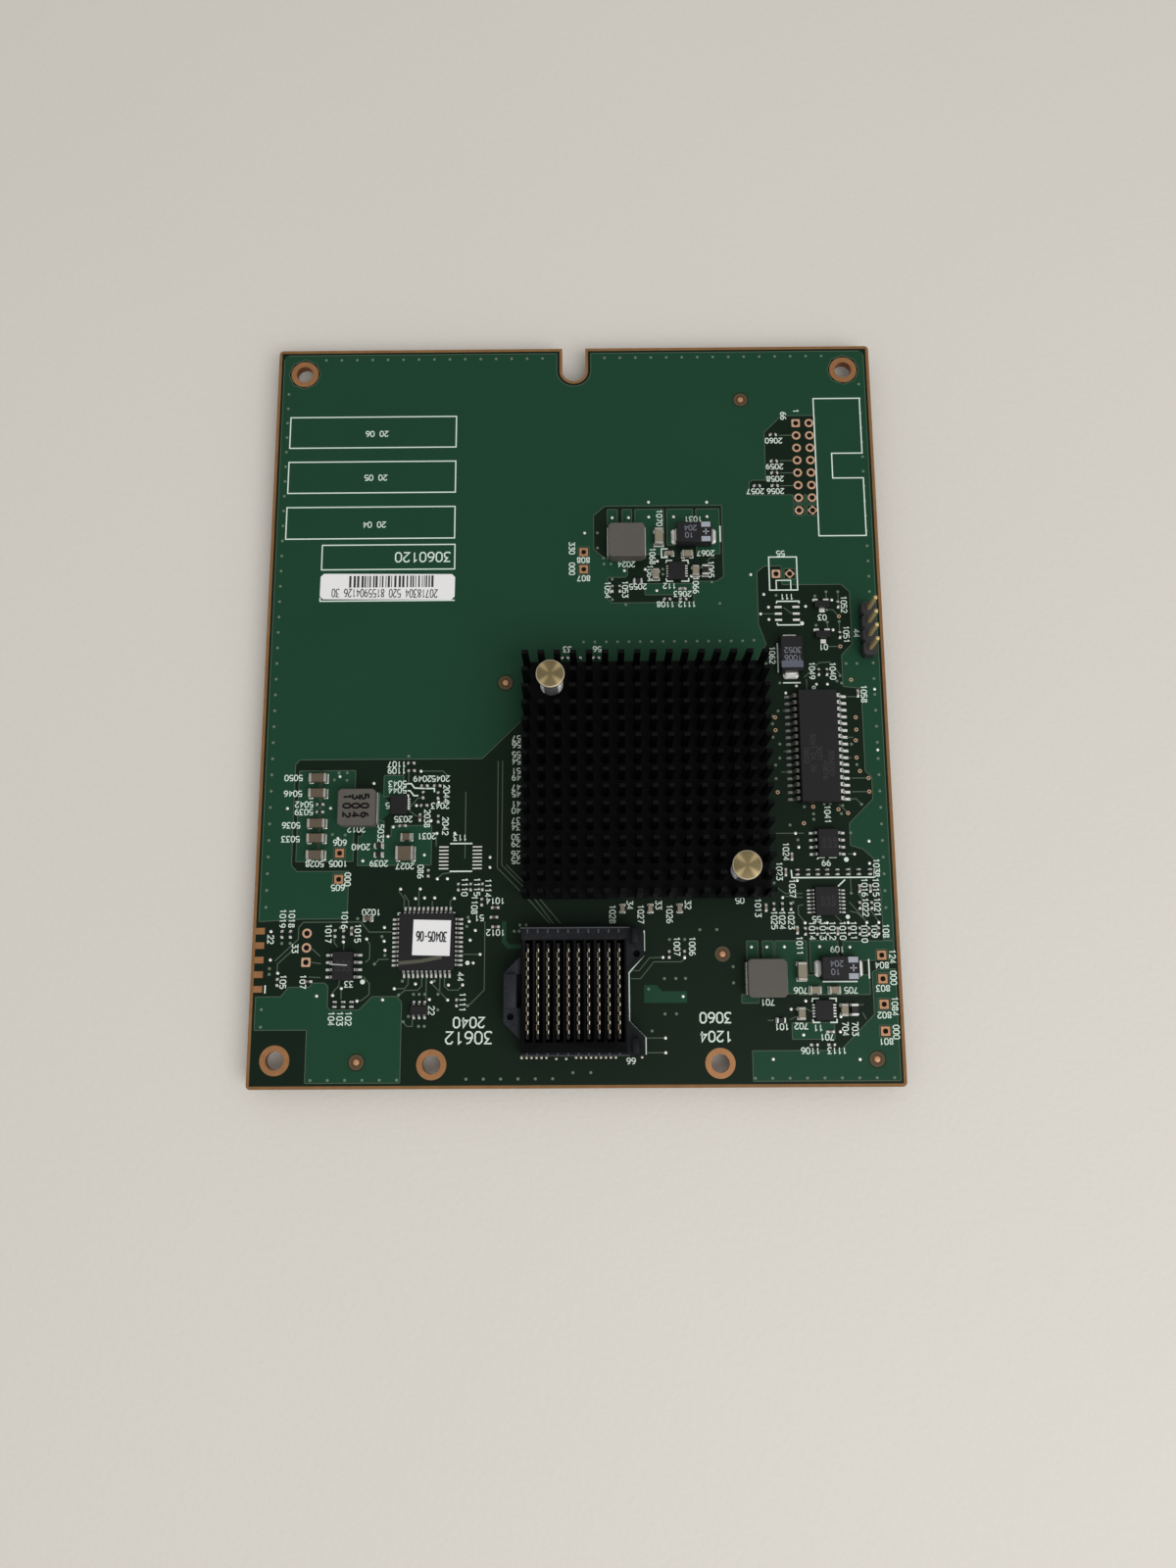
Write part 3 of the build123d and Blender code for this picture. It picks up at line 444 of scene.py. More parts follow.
def mask_colour(f, colour, spread=0.12):
    """Solder mask: cloudy depth of colour with the weave of the laminate just showing."""
    weave = ((f.x * 5.2).wave() * (f.y * 5.2).wave()) * 0.5 + 0.5
    cloud, speck = f.noise(0.06, 3), f.noise(3.0, 2)
    f.bump(weave * 0.3 + speck * 0.7, 0.12, 0.02)
    f.set(specular=0.10)
    return f.around(cloud * 0.5 + weave * 0.2 + speck * 0.3, colour, spread), cloud


def mask(name, colour, spread=0.10, roughness=0.38, uneven=0.08):
    """Solder mask of one colour."""
    f = Finish(name)
    tone, cloud = mask_colour(f, colour, spread)
    return f.set(colour=tone, roughness=roughness + cloud * uneven)


def board_finish(dark, laminate):
    """Dark mask on the faces, bare laminate along the edges and on the walls, copper in the bores."""
    f = Finish("mask_dark")
    dull, cloud = mask_colour(f, dark)
    edge = (f.x.size() - RIGHT).high(f.y.size() - BACK)
    notch_y = (BACK - 4.65 - f.y).high(0)
    notch = ((f.x - 0.05) * (f.x - 0.05) + notch_y * notch_y).root() - 2.25
    rim = (edge > -0.55).high((notch < 0.5) * (f.y > BACK - 8))
    wall = (edge > -0.01).high(notch < 0.02)
    bare = f.mix(f.noise(2.0, 4, stretch=(0.3, 0.3, 6)), shade(laminate, 0.72), shade(laminate, 1.2))
    bores = [((f.x - x) * (f.x - x) + (f.y - y) * (f.y - y)).root() < 1.66
             for (x, y, z), _, _, high in middles("mounting_rings") if high[2] > TOP]
    bore = reduce(Value.high, bores)
    colour = f.mix(bore, f.mix(rim.high(wall), dull, bare), (0.42, 0.2, 0.1))
    return f.set(colour=colour, roughness=0.42 + rim * 0.3 + cloud * 0.06, metallic=bore * 0.9)


# ---------------------------------------------------------------- settings
def colour_setting(name, words, default):
    return bpy.props.FloatVectorProperty(name=name, description=words, subtype="COLOR", size=3,
                                         min=0, max=1, default=default)


def number_setting(name, words, default, least, most=100.0):
    return bpy.props.FloatProperty(name=name, description=words, default=default, min=least, max=most)


def count_setting(name, words, default, least=1):
    return bpy.props.IntProperty(name=name, description=words, default=default, min=least)


class RaidBoardSettings(bpy.types.PropertyGroup):
    """Colours of the bare board, and its finest copper in millimetres."""
    dark_mask: colour_setting("Dark mask", "Mask over bare laminate", (0.0040, 0.0130, 0.0062))
    light_mask: colour_setting("Light mask", "Mask over copper", (0.0105, 0.0510, 0.0260))
    laminate: colour_setting("Laminate", "Bare edge of the board", (0.235, 0.120, 0.048))
    track_mask: colour_setting("Track mask", "Mask over tracks and vias", (0.074, 0.108, 0.074))
    via_mask: colour_setting("Via mask", "Mask over the vias", (0.135, 0.180, 0.132))
    trace_width: number_setting("Track width", "Width of a signal track", 0.18, 0.08, 1)
    via_radius: number_setting("Via radius", "Radius of a covered via", 0.27, 0.1, 0.6)


class RaidPrintSettings(bpy.types.PropertyGroup):
    """White print and paper labels, in millimetres."""
    ink_colour: colour_setting("Ink", "Colour of the print", (0.66, 0.77, 0.68))
    paper_colour: colour_setting("Paper", "Colour of the labels", (0.78, 0.78, 0.785))
    frame_line: number_setting("Frame line", "Width of the frames' lines", 0.22, 0.1, 0.35)
    digit_height: number_setting("Digit height", "Height of a part number", 1, 0.5, 3)


class RaidSinkSettings(bpy.types.PropertyGroup):
    """Heat sink and its pins."""
    sink_colour: colour_setting("Anodised", "Colour of the heat sink", (0.0013, 0.0015, 0.0020))
    pin_colour: colour_setting("Pin heads", "Colour of the push pins", (0.30, 0.235, 0.115))
    fin_columns: count_setting("Fin columns", "Fins across", 16, 2)
    fin_rows: count_setting("Fin rows", "Fins deep", 15, 2)
    spring_turns: number_setting("Spring turns", "Turns of each coil", 8.5, 1, 12)


class RaidConnectorSettings(bpy.types.PropertyGroup):
    """Mating connector and pin header."""
    housing_colour: colour_setting("Housing", "Moulded housing", (0.0095, 0.0105, 0.0125))
    contacts: count_setting("Contacts", "Contacts along each wafer", 10, 2)


class RaidStageSettings(bpy.types.PropertyGroup):
    """Floor and light."""
    floor_colour: colour_setting("Floor", "Table top", (0.66, 0.63, 0.58))
    lamp_power: bpy.props.FloatProperty(name="Lamp", description="Power of the soft lamp",
                                        subtype="POWER", default=7.0, min=0)
    sky_strength: number_setting("Sky", "Strength of the world", 0.55, 0, 2)


class RaidOperator:
    """What all operators here share."""
    bl_options = {"REGISTER", "UNDO"}


# ---------------------------------------------------------------- board
class RAID_OT_board(RaidOperator, bpy.types.Operator):
    """Colours the board and its copper areas"""
    bl_idname = "raid.board"
    bl_label = "Board"

    def execute(self, context):
        s = context.scene.raid_board
        MATERIALS["mask_dark"] = board_finish(s.dark_mask, s.laminate)
        paint("circuit_board", MATERIALS["mask_dark"])
        paint("copper_pours", shared(mask, "mask_light", s.light_mask))
        paint("test_pads", metal("test_pad_copper", (0.42, 0.215, 0.105), 0.45, 2.5, spread=0.25,
                                 metallic=0.35))
        paint("edge_fingers", copper())
        return {"FINISHED"}


class RAID_OT_rings(RaidOperator, bpy.types.Operator):
    """Makes the copper rings of the mounting holes, the lands of the empty sockets, and near-black discs of
    painted shade in the holes of the lands and test pads
    """
    bl_idname = "raid.rings"
    bl_label = "Copper rings"

    def execute(self, context):
        rings = Shape().repeat(washer(1.63, 2.62, 0.05, 48, 0.015),
                               [(*mid[:2], low[2]) for mid, _, low, _ in middles("mounting_rings")])
        piece("mounting_ring_faces", rings, copper(), 30, ("mounting_rings",))
        lands, holes = Shape(), Shape()
        hole, thick = 0.5, 0.06
        squares, diamonds = [(42.55, 53.85), (37.7, 23.4), (-47.6, -48)], [(45.1, 36.1), (40.2, 23.4)]
        for (x, y, _), *_ in middles("through_hole_lands"):
            square, diamond = (any(abs(x - a) + abs(y - b) < 1 for a, b in group)
                               for group in (squares, diamonds))
            land = (square_land(0.8, hole, thick) if square else square_land(0.68, hole, thick, 45)
                    if diamond else washer(hole, 0.84, thick, 24, 0.02))
            lands.repeat(land, (x, y, TOP))
            holes.repeat(lathe([(hole, 0), (hole, 0.02)], 20), (x, y, TOP))
        for (x, y, _), _, _, high in middles("test_pads"):
            holes.repeat(lathe([(0.45, 0), (0.45, 0.02)], 20), (x, y, high[2] - 0.01))
        piece("socket_lands", lands, coated(), 30, ("through_hole_lands",))
        # Painted shade: flat near-black discs at the top of each hole stand for the shade inside it.
        dark = plastic("hole_shade", (0.006, 0.003, 0.002), 0.7, specular=0.1)
        piece("socket_hole_shade", holes, dark)
        return {"FINISHED"}


# ---------------------------------------------------------------- tracks and vias
# Every place below is in millimetres from the middle of the board.
SUPPLY_DOTS = [
    (14.1, 37.9), (25.1, 37.8), (2, 31.8), (7.2, 34.8), (10.3, 34.8), (14.1, 34.9), (18.8, 34.9),
    (25.1, 34.9), (9.4, 24.3), (13.3, 24.5), (15.6, 26.1), (15.4, 20.3), (21.9, 23.1), (31, -45.8),
    (33.7, -45.8), (36.8, -45.8), (43, -45.8), (48.3, -45.9), (40.2, -55.2), (37.6, -56.6), (39.6, -61),
    (46, -60.5), (46.2, -57.9), (-42.6, -14.7), (-36.4, -16), (-51.9, -20.5), (-44.1, -20.5), (-42.6, -26),
    (-32.7, -24), (-33.6, -25.7), (-38, -30.1), (-27, -29.1), (-24.8, -25.2), (-24.6, -19.5), (-30.2, -18.3),
    (-28.6, -20.1), (-27.9, -13.8), (-25.9, -22.9), (-24.6, -33.4), (-22.8, -33.4), (-31.1, -35.2),
    (-27.6, -35.2)]
FRONT_DOTS = [
    (15.4, -47.5), (19.2, -47.6), (15.6, -61.4), (15.6, -63.9), (18.8, -54.3), (34.2, -65.1), (49.2, -65.2),
    (-45.4, -53.9), (-42.6, -53.8), (-41.1, -52.6), (-38.3, -54.8), (-33.8, -54.6), (-52.4, -49.9),
    (-53.9, -42.6), (-53.8, -47.6), (-41, -44.5), (-36.9, -44), (-15.2, -29.6), (-15.2, -31.4),
    (-21.6, -25.2)]
RIGHT_DOTS = [
    (33, 23.3), (35.3, 19.4), (36.1, 16.9), (34.6, 15.6), (36.1, 14.5), (43, 17), (42.2, 13.7), (47.9, 18.2),
    (47.9, 12.4), (46.4, 2), (44.4, 2), (41.6, 0), (40.7, 1.7), (38.7, 0.4), (52.6, -27.1), (39.5, -25.6),
    (40, -28.1), (49.9, -29.4), (52.5, -31.1), (55, 1), (55, -10.4), (36.8, -37.1), (40.6, -41.6),
    (44.5, -41.6), (48.2, -41.6), (51.5, -41.6), (53.6, -41.6), (39.5, -34.1)]
LOGIC_DOTS = [
    (-31.8, -52.7), (-28.1, -51.9), (-25.3, -51.6), (-22.3, -52.1), (-19.8, -52.1), (-25.6, -54.6),
    (-22.4, -54.7), (-33.8, -42), (-33.8, -44.4), (-33.6, -46), (-18.8, -41), (-18.6, -44.3), (-17.7, -42.6),
    (-16.8, -46.8), (-18, -48.3), (-28.4, -36.9), (-26.8, -36.8), (-25, -36.8), (-21.5, -36.9)]
RINGED_VIAS = [
    (36.6, -4.2), (36.6, -6.6), (51.3, -4.3), (51.3, -6.6), (51.1, -8.6), (51.1, -11.8), (51.6, -14.3),
    (53.1, -15.6), (53.1, -18.1), (36.6, -18.1), (42.9, -20.8), (47.4, -21.3), (49.1, -22), (41.1, -23.8),
    (49.1, 15), (49.1, 9.2), (50.8, 2.8)]
COVERED_VIAS = [
    (49.1, 14), (49.1, 19.8), (46.9, 19.8), (44.8, 19), (37.6, 19.2), (46.9, 13.9), (46.9, 16.3),
    (44.8, 13.3), (48.2, 2.6), (48.8, 3.6), (49, 2.2), (4.4, 31.8), (4.4, 28.8), (9.6, 17.6), (27.1, 17.7),
    (25.7, 21.9), (7.1, 22.6), (7.1, 18.6), (5.6, 25.6), (6.9, 25.6), (5.5, 26.8), (16.6, 24.5),
    (16.6, 23.5), (15.6, -51.2), (17.6, -51.2), (19.3, -51.2), (22, -42.7), (25, -42.7), (15.6, -57.3),
    (17.6, -57.3), (13.3, -60.2), (12.8, -53), (16.6, -44.4), (19.3, -44.4), (-9.8, -41.7), (-8.7, -41.7),
    (-10.8, -42.8), (-9.9, -42.8), (27.7, -49.2), (27.7, -52), (-53.9, -49.1), (-53.9, -50.1),
    (-51.9, -44.7), (-50.4, -44.7), (-38.6, -40.4), (-41.6, -42), (-39.6, -42), (-28.4, -53.7),
    (-27.4, -53.7), (-26.4, -53.7), (-24.1, -53.7), (-24.1, -56.4), (-29.2, -57.5), (-30.1, -58.4),
    (-27.4, -59.2), (-26.4, -59.2), (-31, -53.8), (-35.4, -48.4), (-34.2, -43.6), (-33.6, -46.9),
    (-18.9, -55.7), (-19, -40.3), (-19.2, -41.9), (-30.4, -51.4), (-24.8, -51.4), (-30.2, -11), (-42.8, -14),
    (-41.3, -14), (-41.3, -15.4), (-43.6, -15.3), (-41.3, -25.4), (-43.6, -25.3), (-43.6, -30), (36.1, -4),
    (36.1, -5.4), (36.1, -7.9), (37.3, -9.2), (37.2, -11.8), (36.4, -13.1), (36.4, -15.6), (37.2, -3),
    (38.6, -24.1), (41.3, -20.8), (44.9, -20.3), (46, -20.2), (42.9, -22.1), (42.9, -23.1), (47.9, -22.1),
    (48.2, -20.6), (51.6, -20.4), (50.3, -9.3), (51.1, -13.1), (49.4, -25.6), (39.9, -26.8), (35.4, -34.5),
    (38.6, -38), (49, -36.4), (43.4, -44), (52.9, 0.9), (35.3, 6), (37.7, 2.3), (54.9, 16.4), (33.2, 10.5),
    (52, 5.9), (50, 5.9)]
TRACKS = [
    [(12.3, -61.4), (15.6, -61.4)], [(12.3, -63.9), (15.6, -63.9)], [(15.4, -47.5), (13, -47.6),
    (11.2, -49.8), (9.9, -49.8)], [(19.2, -47.8), (18.6, -48.3), (13.8, -48.3), (11.4, -51.2), (9.8, -51.2)],
    [(39.2, 51.3), (41.8, 51.3)], [(39.2, 46.1), (41.8, 46.1)], [(39.2, 43.6), (41.8, 43.6)], [(39.2, 41),
    (41.8, 41)], [(-12.3, -31), (-6.9, -36.4), (-2.6, -41.5)], [(-49, -41.9), (-48.2, -41), (-38, -41),
    (-36.5, -42.8), (-32.5, -42.8)], [(-49, -41.9), (-49, -44), (-53, -47.8)], [(-50, -46), (-52.5, -48.3),
    (-52.5, -49.8)], [(-46.7, -45.5), (-45, -47)], [(-46.8, -48), (-44.8, -48.3)], [(-42.6, -43.2),
    (-42.6, -44.6), (-42, -45.4)], [(-40.9, -44.5), (-40.9, -46)], [(-37, -44), (-36.3, -44.9),
    (-36.3, -47.5), (-37, -48.1)], [(-37.3, -50.6), (-36.2, -51.8), (-36.2, -53.7), (-37.5, -54.7),
    (-38.4, -54.7)], [(-42.6, -53.8), (-42.5, -53.2), (-41.6, -52.2), (-41.4, -51)], [(-41.1, -52.6),
    (-41.1, -54.5)], [(-46.9, -50.6), (-44.8, -50.7)], [(-16, -41), (-16, -53), (-18.8, -55.8)],
    [(-31.8, -52.7), (-30, -52.7), (-29.4, -52), (-29.4, -50.6)], [(-31, -53.8), (-29.9, -53), (-27.7, -53),
    (-27, -52.3), (-27, -50.6)], [(-26.2, -50.6), (-26.2, -54.6)], [(-25.3, -51.8), (-22.4, -54.7)],
    [(-23.8, -50.6), (-23.8, -53.2), (-23.3, -53.7)], [(-23, -50.6), (-23, -52.3), (-22.3, -53),
    (-20.6, -53), (-19.8, -52.2)], [(-30.1, -58.5), (-29.4, -59.2), (-28.5, -59.2), (-28.5, -58.1)],
    [(-35.4, -48.4), (-34.6, -47.6), (-32.9, -47.6)], [(-30.4, -38.6), (-30.4, -36.9), (-31.4, -35.6)],
    [(-27.8, -38.6), (-27.8, -35.6)], [(-29.6, -38.6), (-29.6, -37.4), (-30.4, -36.2)], [(-25.4, -38.6),
    (-25.4, -37.4)], [(-22.2, -38.6), (-22.2, -37.4), (-21.6, -36.9)], [(-20.4, -46.8), (-16.8, -46.8)],
    [(-19.7, -17.7), (-19.7, -29.8)], [(-13.9, -12), (-13.9, -31.5), (-8, -37.5), (-4.5, -41.5)],
    [(-13.1, -12), (-13.1, -31), (-7.4, -36.8), (-3.9, -41.5)], [(-27.9, -13.8), (-23.9, -13.8),
    (-22.8, -14.9)], [(-30.1, -13.7), (-30.1, -16)], [(-29.9, -20.6), (-28.4, -18.8), (-27.4, -18.6)],
    [(-29.9, -21), (-28.6, -22), (-27.4, -22.3)], [(-24.9, -25.2), (-24.9, -27.6)], [(-24.6, -33.3),
    (-23.6, -32.5), (-22.2, -32.3)], [(49.1, 19.8), (49.1, 18)], [(46.9, 19.8), (46.9, 18.4)], [(44.8, 19),
    (44.8, 18.4)], [(46, 16.3), (48, 16.3), (49.1, 15)], [(49.1, 14), (49.1, 12.2)], [(46.9, 13.9),
    (46.9, 12.5)], [(46.9, 9.2), (48.8, 9.2)], [(35, 15.6), (37.2, 15.6)], [(38.9, 16.8), (40.4, 15.6)],
    [(42.2, 3.3), (43.9, 5), (45, 6.1), (47, 6.2), (48.8, 3.9)], [(49.9, -0.4), (51.9, -0.4)], [(42.6, 3),
    (42.6, 0.6)], [(50, -15.6), (52.9, -15.6)], [(50, -18.1), (52.9, -18.1)], [(50, -19.4), (50.7, -19.4),
    (51.6, -20.4)], [(47.6, -20.4), (49.1, -22)], [(36, -25.6), (39.5, -25.6), (41, -25.6)], [(48.8, -29.4),
    (49.8, -29.4)], [(37, -36.9), (40.4, -37.1)], [(40.4, -38.4), (39.5, -38.6), (39.5, -40.1),
    (40.6, -41.5)], [(48.6, -38), (51.5, -41.4)], [(48.6, -39.6), (49.9, -39.9), (51.4, -41.4)],
    [(50.2, -36.4), (53.6, -41.4)], [(49, -31.8), (49, -36.4)], [(36, -35.4), (37.3, -36.4), (40.4, -36.4)],
    [(46, -40.3), (47, -41.4)], [(33.5, -58.5), (34.6, -58.5)], [(37.3, -58.4), (38.4, -57.9),
    (39.3, -57.9)], [(50, -57.2), (50.6, -58.4)], [(48.9, -55.9), (50.3, -55.9)], [(38.2, -56.6),
    (39.8, -56.3), (41.3, -57.1)], [(13.6, 24.4), (14.8, 24.4)], [(24.9, 26), (25.6, 26.7), (26.4, 26.7)]]
SMALL_AREAS = [
    [(12, -55.4), (19.5, -55.4), (19.5, -53.4), (15.2, -53.4), (14.2, -52.3), (12, -52.3)], [(-36.2, -23.6),
    (-35.6, -23.6), (-33.4, -21.4), (-33.4, -19.5), (-35.2, -17.6), (-36.2, -17.6)], [(-12, -45.9),
    (-9.5, -45.9), (-9.5, -45.1), (-11.6, -45.1), (-12.2, -44.4), (-12.2, -41), (-13, -41), (-13, -44.7)]]


def edge_vias():
    """Rows of covered vias that stitch the copper areas along the board's edges."""
    pitch = 3.0
    row = [(x, 67.8) for x in np.arange(-48.0, 48.1, pitch) if abs(x) > 5]
    row += [(-55.0, y) for y in (*np.arange(-38.3, 61.0, pitch), -56.2, -59.2)]
    row += [(55.0, y) for y in (*np.arange(-39.0, 8.0, pitch), *np.arange(19.8, 62.0, pitch))]
    row += [(x, -68.3) for x in (*np.arange(-46.0, -30.9, pitch), *np.arange(31.0, 55.2, pitch))]
    row += [(x, -68.2) for x in np.arange(-19.0, -3.0, pitch)] + [(-0.5, -67.2), (2.6, -67.2)]
    return row + [(x, 10.4) for x in np.arange(1.7, 33.0, 2.1)]


def on_board(places):
    return [(x, y, TOP) for x, y in places]


class RAID_OT_tracks(RaidOperator, bpy.types.Operator):
    """Lays the tracks, the vias under the mask or filled with solder, and the fiducials"""
    bl_idname = "raid.tracks"
    bl_label = "Tracks and vias"

    def execute(self, context):
        s = context.scene.raid_board
        track = mask("mask_track", s.track_mask, 0.12, 0.36)
        self.tracks(s.trace_width, track)
        high, r = POUR_T + 0.02, s.via_radius
        dome = lathe([(r, 0), (r, high * 0.7), (r * 0.55, high)], 10)
        covered = Shape().repeat(dome, on_board(COVERED_VIAS + edge_vias()))
        piece("covered_vias", covered, mask("mask_via", s.via_mask, 0.15, 0.4, 0.1), 60)
        self.copper_rims(track)
        self.solder_dots()
        self.fiducials()
        patch = Shape()
        for outline in SMALL_AREAS:
            patch.add(*loft([level(outline, z) for z in (TOP, POUR - 0.004)]))
        piece("small_copper_areas", patch, MATERIALS["mask_light"])
        return {"FINISHED"}

    def tracks(self, width, track):
        """The listed tracks, and one of uneven length from every third lead of the memory chip."""
        lines = Shape()
        for points in TRACKS:
            lines.add(*stroke(points, width, TOP, POUR_T + 0.005))
        leads = middles("memory_leads")
        middle = (leads[0][2][0] + leads[-1][3][0]) / 2
        for (x, y, _), *_ in leads[1::3]:
            far = x + (1 if x > middle else -1) * (1.4 + 0.8 * sin(y * 2.1))
            lines.add(*stroke([(x, y), (far, y)], width, TOP, POUR_T))
        piece("signal_tracks", lines, track, 30)

    def copper_rims(self, track):
        """Thin raised rim along every edge of the copper areas, from their own outlines, in the paler track
        mask as a painted highlight on the copper's edge.
        """
        work = bmesh.new()
        work.from_mesh(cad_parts["copper_pours"].data)
        bmesh.ops.remove_doubles(work, verts=work.verts, dist=1e-6)
        rim, spots = Shape(), islands("fiducials").mean(1)[:, :2]
        for edge in work.edges:
            up = [face.normal.z > 0.9 for face in edge.link_faces]
            if len(up) == 2 and up[0] != up[1]:
                ends = np.array([v.co[:2] for v in edge.verts]) / MM
                apart = np.hypot(*(spots - ends.mean(0)).T).min()
                if edge.calc_length() > 0.3 * MM and apart > 2.2:
                    rim.add(*stroke(ends, 0.13, TOP, POUR_T + 0.012))
        work.free()
        # Painted highlight: the pale line along each copper edge.
        piece("copper_rims", rim, track)

    def solder_dots(self):
        """Vias filled with solder, the connector's front row of joints, and vias with bare rings."""
        blob = lathe([(0.29, 0), (0.29, 0.06), (0.22, 0.12), (0.10, 0.15)], 12)
        places = on_board(SUPPLY_DOTS + FRONT_DOTS + RIGHT_DOTS + LOGIC_DOTS)
        piece("filled_vias", Shape().repeat(blob, places), solder(), 60)
        row = [(-9.4 + k * 0.86, -64.65 - 0.2 * (6 < k < 11)) for k in range(20) if k not in (6, 8, 10)]
        joints = Shape().repeat(lathe([(0.23, 0), (0.23, 0.06), (0.12, 0.1)], 8),
                                on_board(row + [(11.5, -64.65)]))
        piece("connector_joints", joints, metal("dull_solder", (0.52, 0.48, 0.38), 0.4, 2.5,
                                                metallic=0.4), 60)
        rings = Shape().repeat(washer(0.19, 0.36, 0.075, 16, 0.02), on_board(RINGED_VIAS))
        piece("ringed_vias", rings, coated(), 30)

    def fiducials(self):
        """Dull copper dots, each in a round window in the mask with the laminate showing."""
        bare = plastic("bare_laminate", (0.085, 0.040, 0.013), 0.5, 4, 0.02, 0.3, 0.2)
        weave = plastic("laminate_weave", (0.080, 0.059, 0.031), 0.55, 4, 0.02, 0.3, 0.2)
        dull = metal("dull_copper", (0.47, 0.255, 0.13), 0.45, 2.5, spread=0.2, metallic=0.35)
        dot, collar, window, edge, sunk = 0.5, 0.86, 1.36, 1.52, POUR_T - 0.01
        places = on_board([mid[:2] for mid, *_ in middles("fiducials")])
        for name, part, mat, slot, spots in (
                ("fiducial_windows", washer(dot, collar, sunk, 36, 0.01), bare, "mask_dark", places),
                ("fiducial_collars", washer(collar, window, sunk, 36, 0.01), weave, "mask_dark", places),
                ("fiducial_edges", washer(window, edge, POUR_T + 0.004, 36, 0.002),
                 MATERIALS["mask_dark"], "mask_dark", places),
                ("fiducial_corners", square_land(1.51, 1.4, POUR_T, n=48), MATERIALS["mask_light"],
                 "mask_light", [place for place in places if abs(place[0] - 25.9) > 1])):
            smooth = None if name == "fiducial_corners" else 30
            piece(name, Shape().repeat(part, spots), mat, smooth)
        dots = Shape().repeat(lathe([(dot, 0), (dot, 0.045), (0.46, 0.06)], 28), places)
        piece("fiducial_dots", dots, dull, 30, ("fiducials",))


# ---------------------------------------------------------------- print
UPSIDE_DOWN = [
    ("5050", -51, -14.9), ("5046", -51, -17.8), ("5042", -48.9, -19.8), ("5039", -48.9, -21.2),
    ("5036", -51.1, -23.6), ("5033", -51.1, -26.1), ("5028", -46.6, -30.6), ("1005", -42.4, -30.6),
    ("606", -42.2, -26.8), ("605", -42.3, -34.9), ("2012", -39.3, -24.4), ("1107", -32.3, -12.5),
    ("1109", -32.3, -13.7), ("5043", -32.1, -16.1), ("5044", -32.1, -17.3), ("2049", -27.6, -15.2),
    ("2045", -24.3, -15.2), ("5", -33.8, -20.1), ("2035", -30.9, -22.6), ("2043", -24.3, -20.2),
    ("2031", -26.6, -25.7), ("2040", -38.4, -27.6), ("2039", -35.1, -30.6), ("2027", -30.4, -31.1),
    ("1020", -36.2, -39.3), ("33", -39.8, -51.9), ("1014", -14.2, -37.4), ("1012", -14.1, -43),
    ("51", -17, -40.4), ("55", 38.7, 27.4), ("111", 39.6, 18.9), ("01", 46, 9.1), ("03", 46, 14.8),
    ("8", 43.9, 1.1), ("109", 46.1, -46.3), ("804", 53.8, -49.1), ("803", 53.8, -53.1), ("802", 53.8, -57.7),
    ("801", 53.9, -62.2), ("706", 39.4, -53.4), ("705", 48.2, -53.4), ("701", 33.6, -55.4),
    ("101", 35.9, -59.6), ("702", 39.3, -59.5), ("11", 42.2, -59.8), ("701", 43.7, -61.4),
    ("1106", 40.7, -63.7), ("1113", 45.3, -63.7), ("808", 1.75, 26.4), ("807", 1.8, 22.8),
    ("1031", 22.5, 34.4), ("2024", 9.8, 25.5), ("2055", 11.9, 21.1), ("112", 17.8, 21.2),
    ("2067", 24.7, 27.6), ("2063", 20.2, 19.6), ("66", 9.6, -65.3), ("113", -20.6, -26), ("05", 29.2, -37.6),
    ("56", 4.2, 9), ("33", -1.3, 9), ("2060", 38.2, 50.2), ("2059", 38.2, 44.9), ("2058", 38.2, 42.4),
    ("2056", 38.2, 39.9), ("2057", 34.4, 39.9), ("1108", 17, 17.6), ("1112", 21, 17.6), ("99", 44.8, -31),
    ("55", 42.7, -41)]
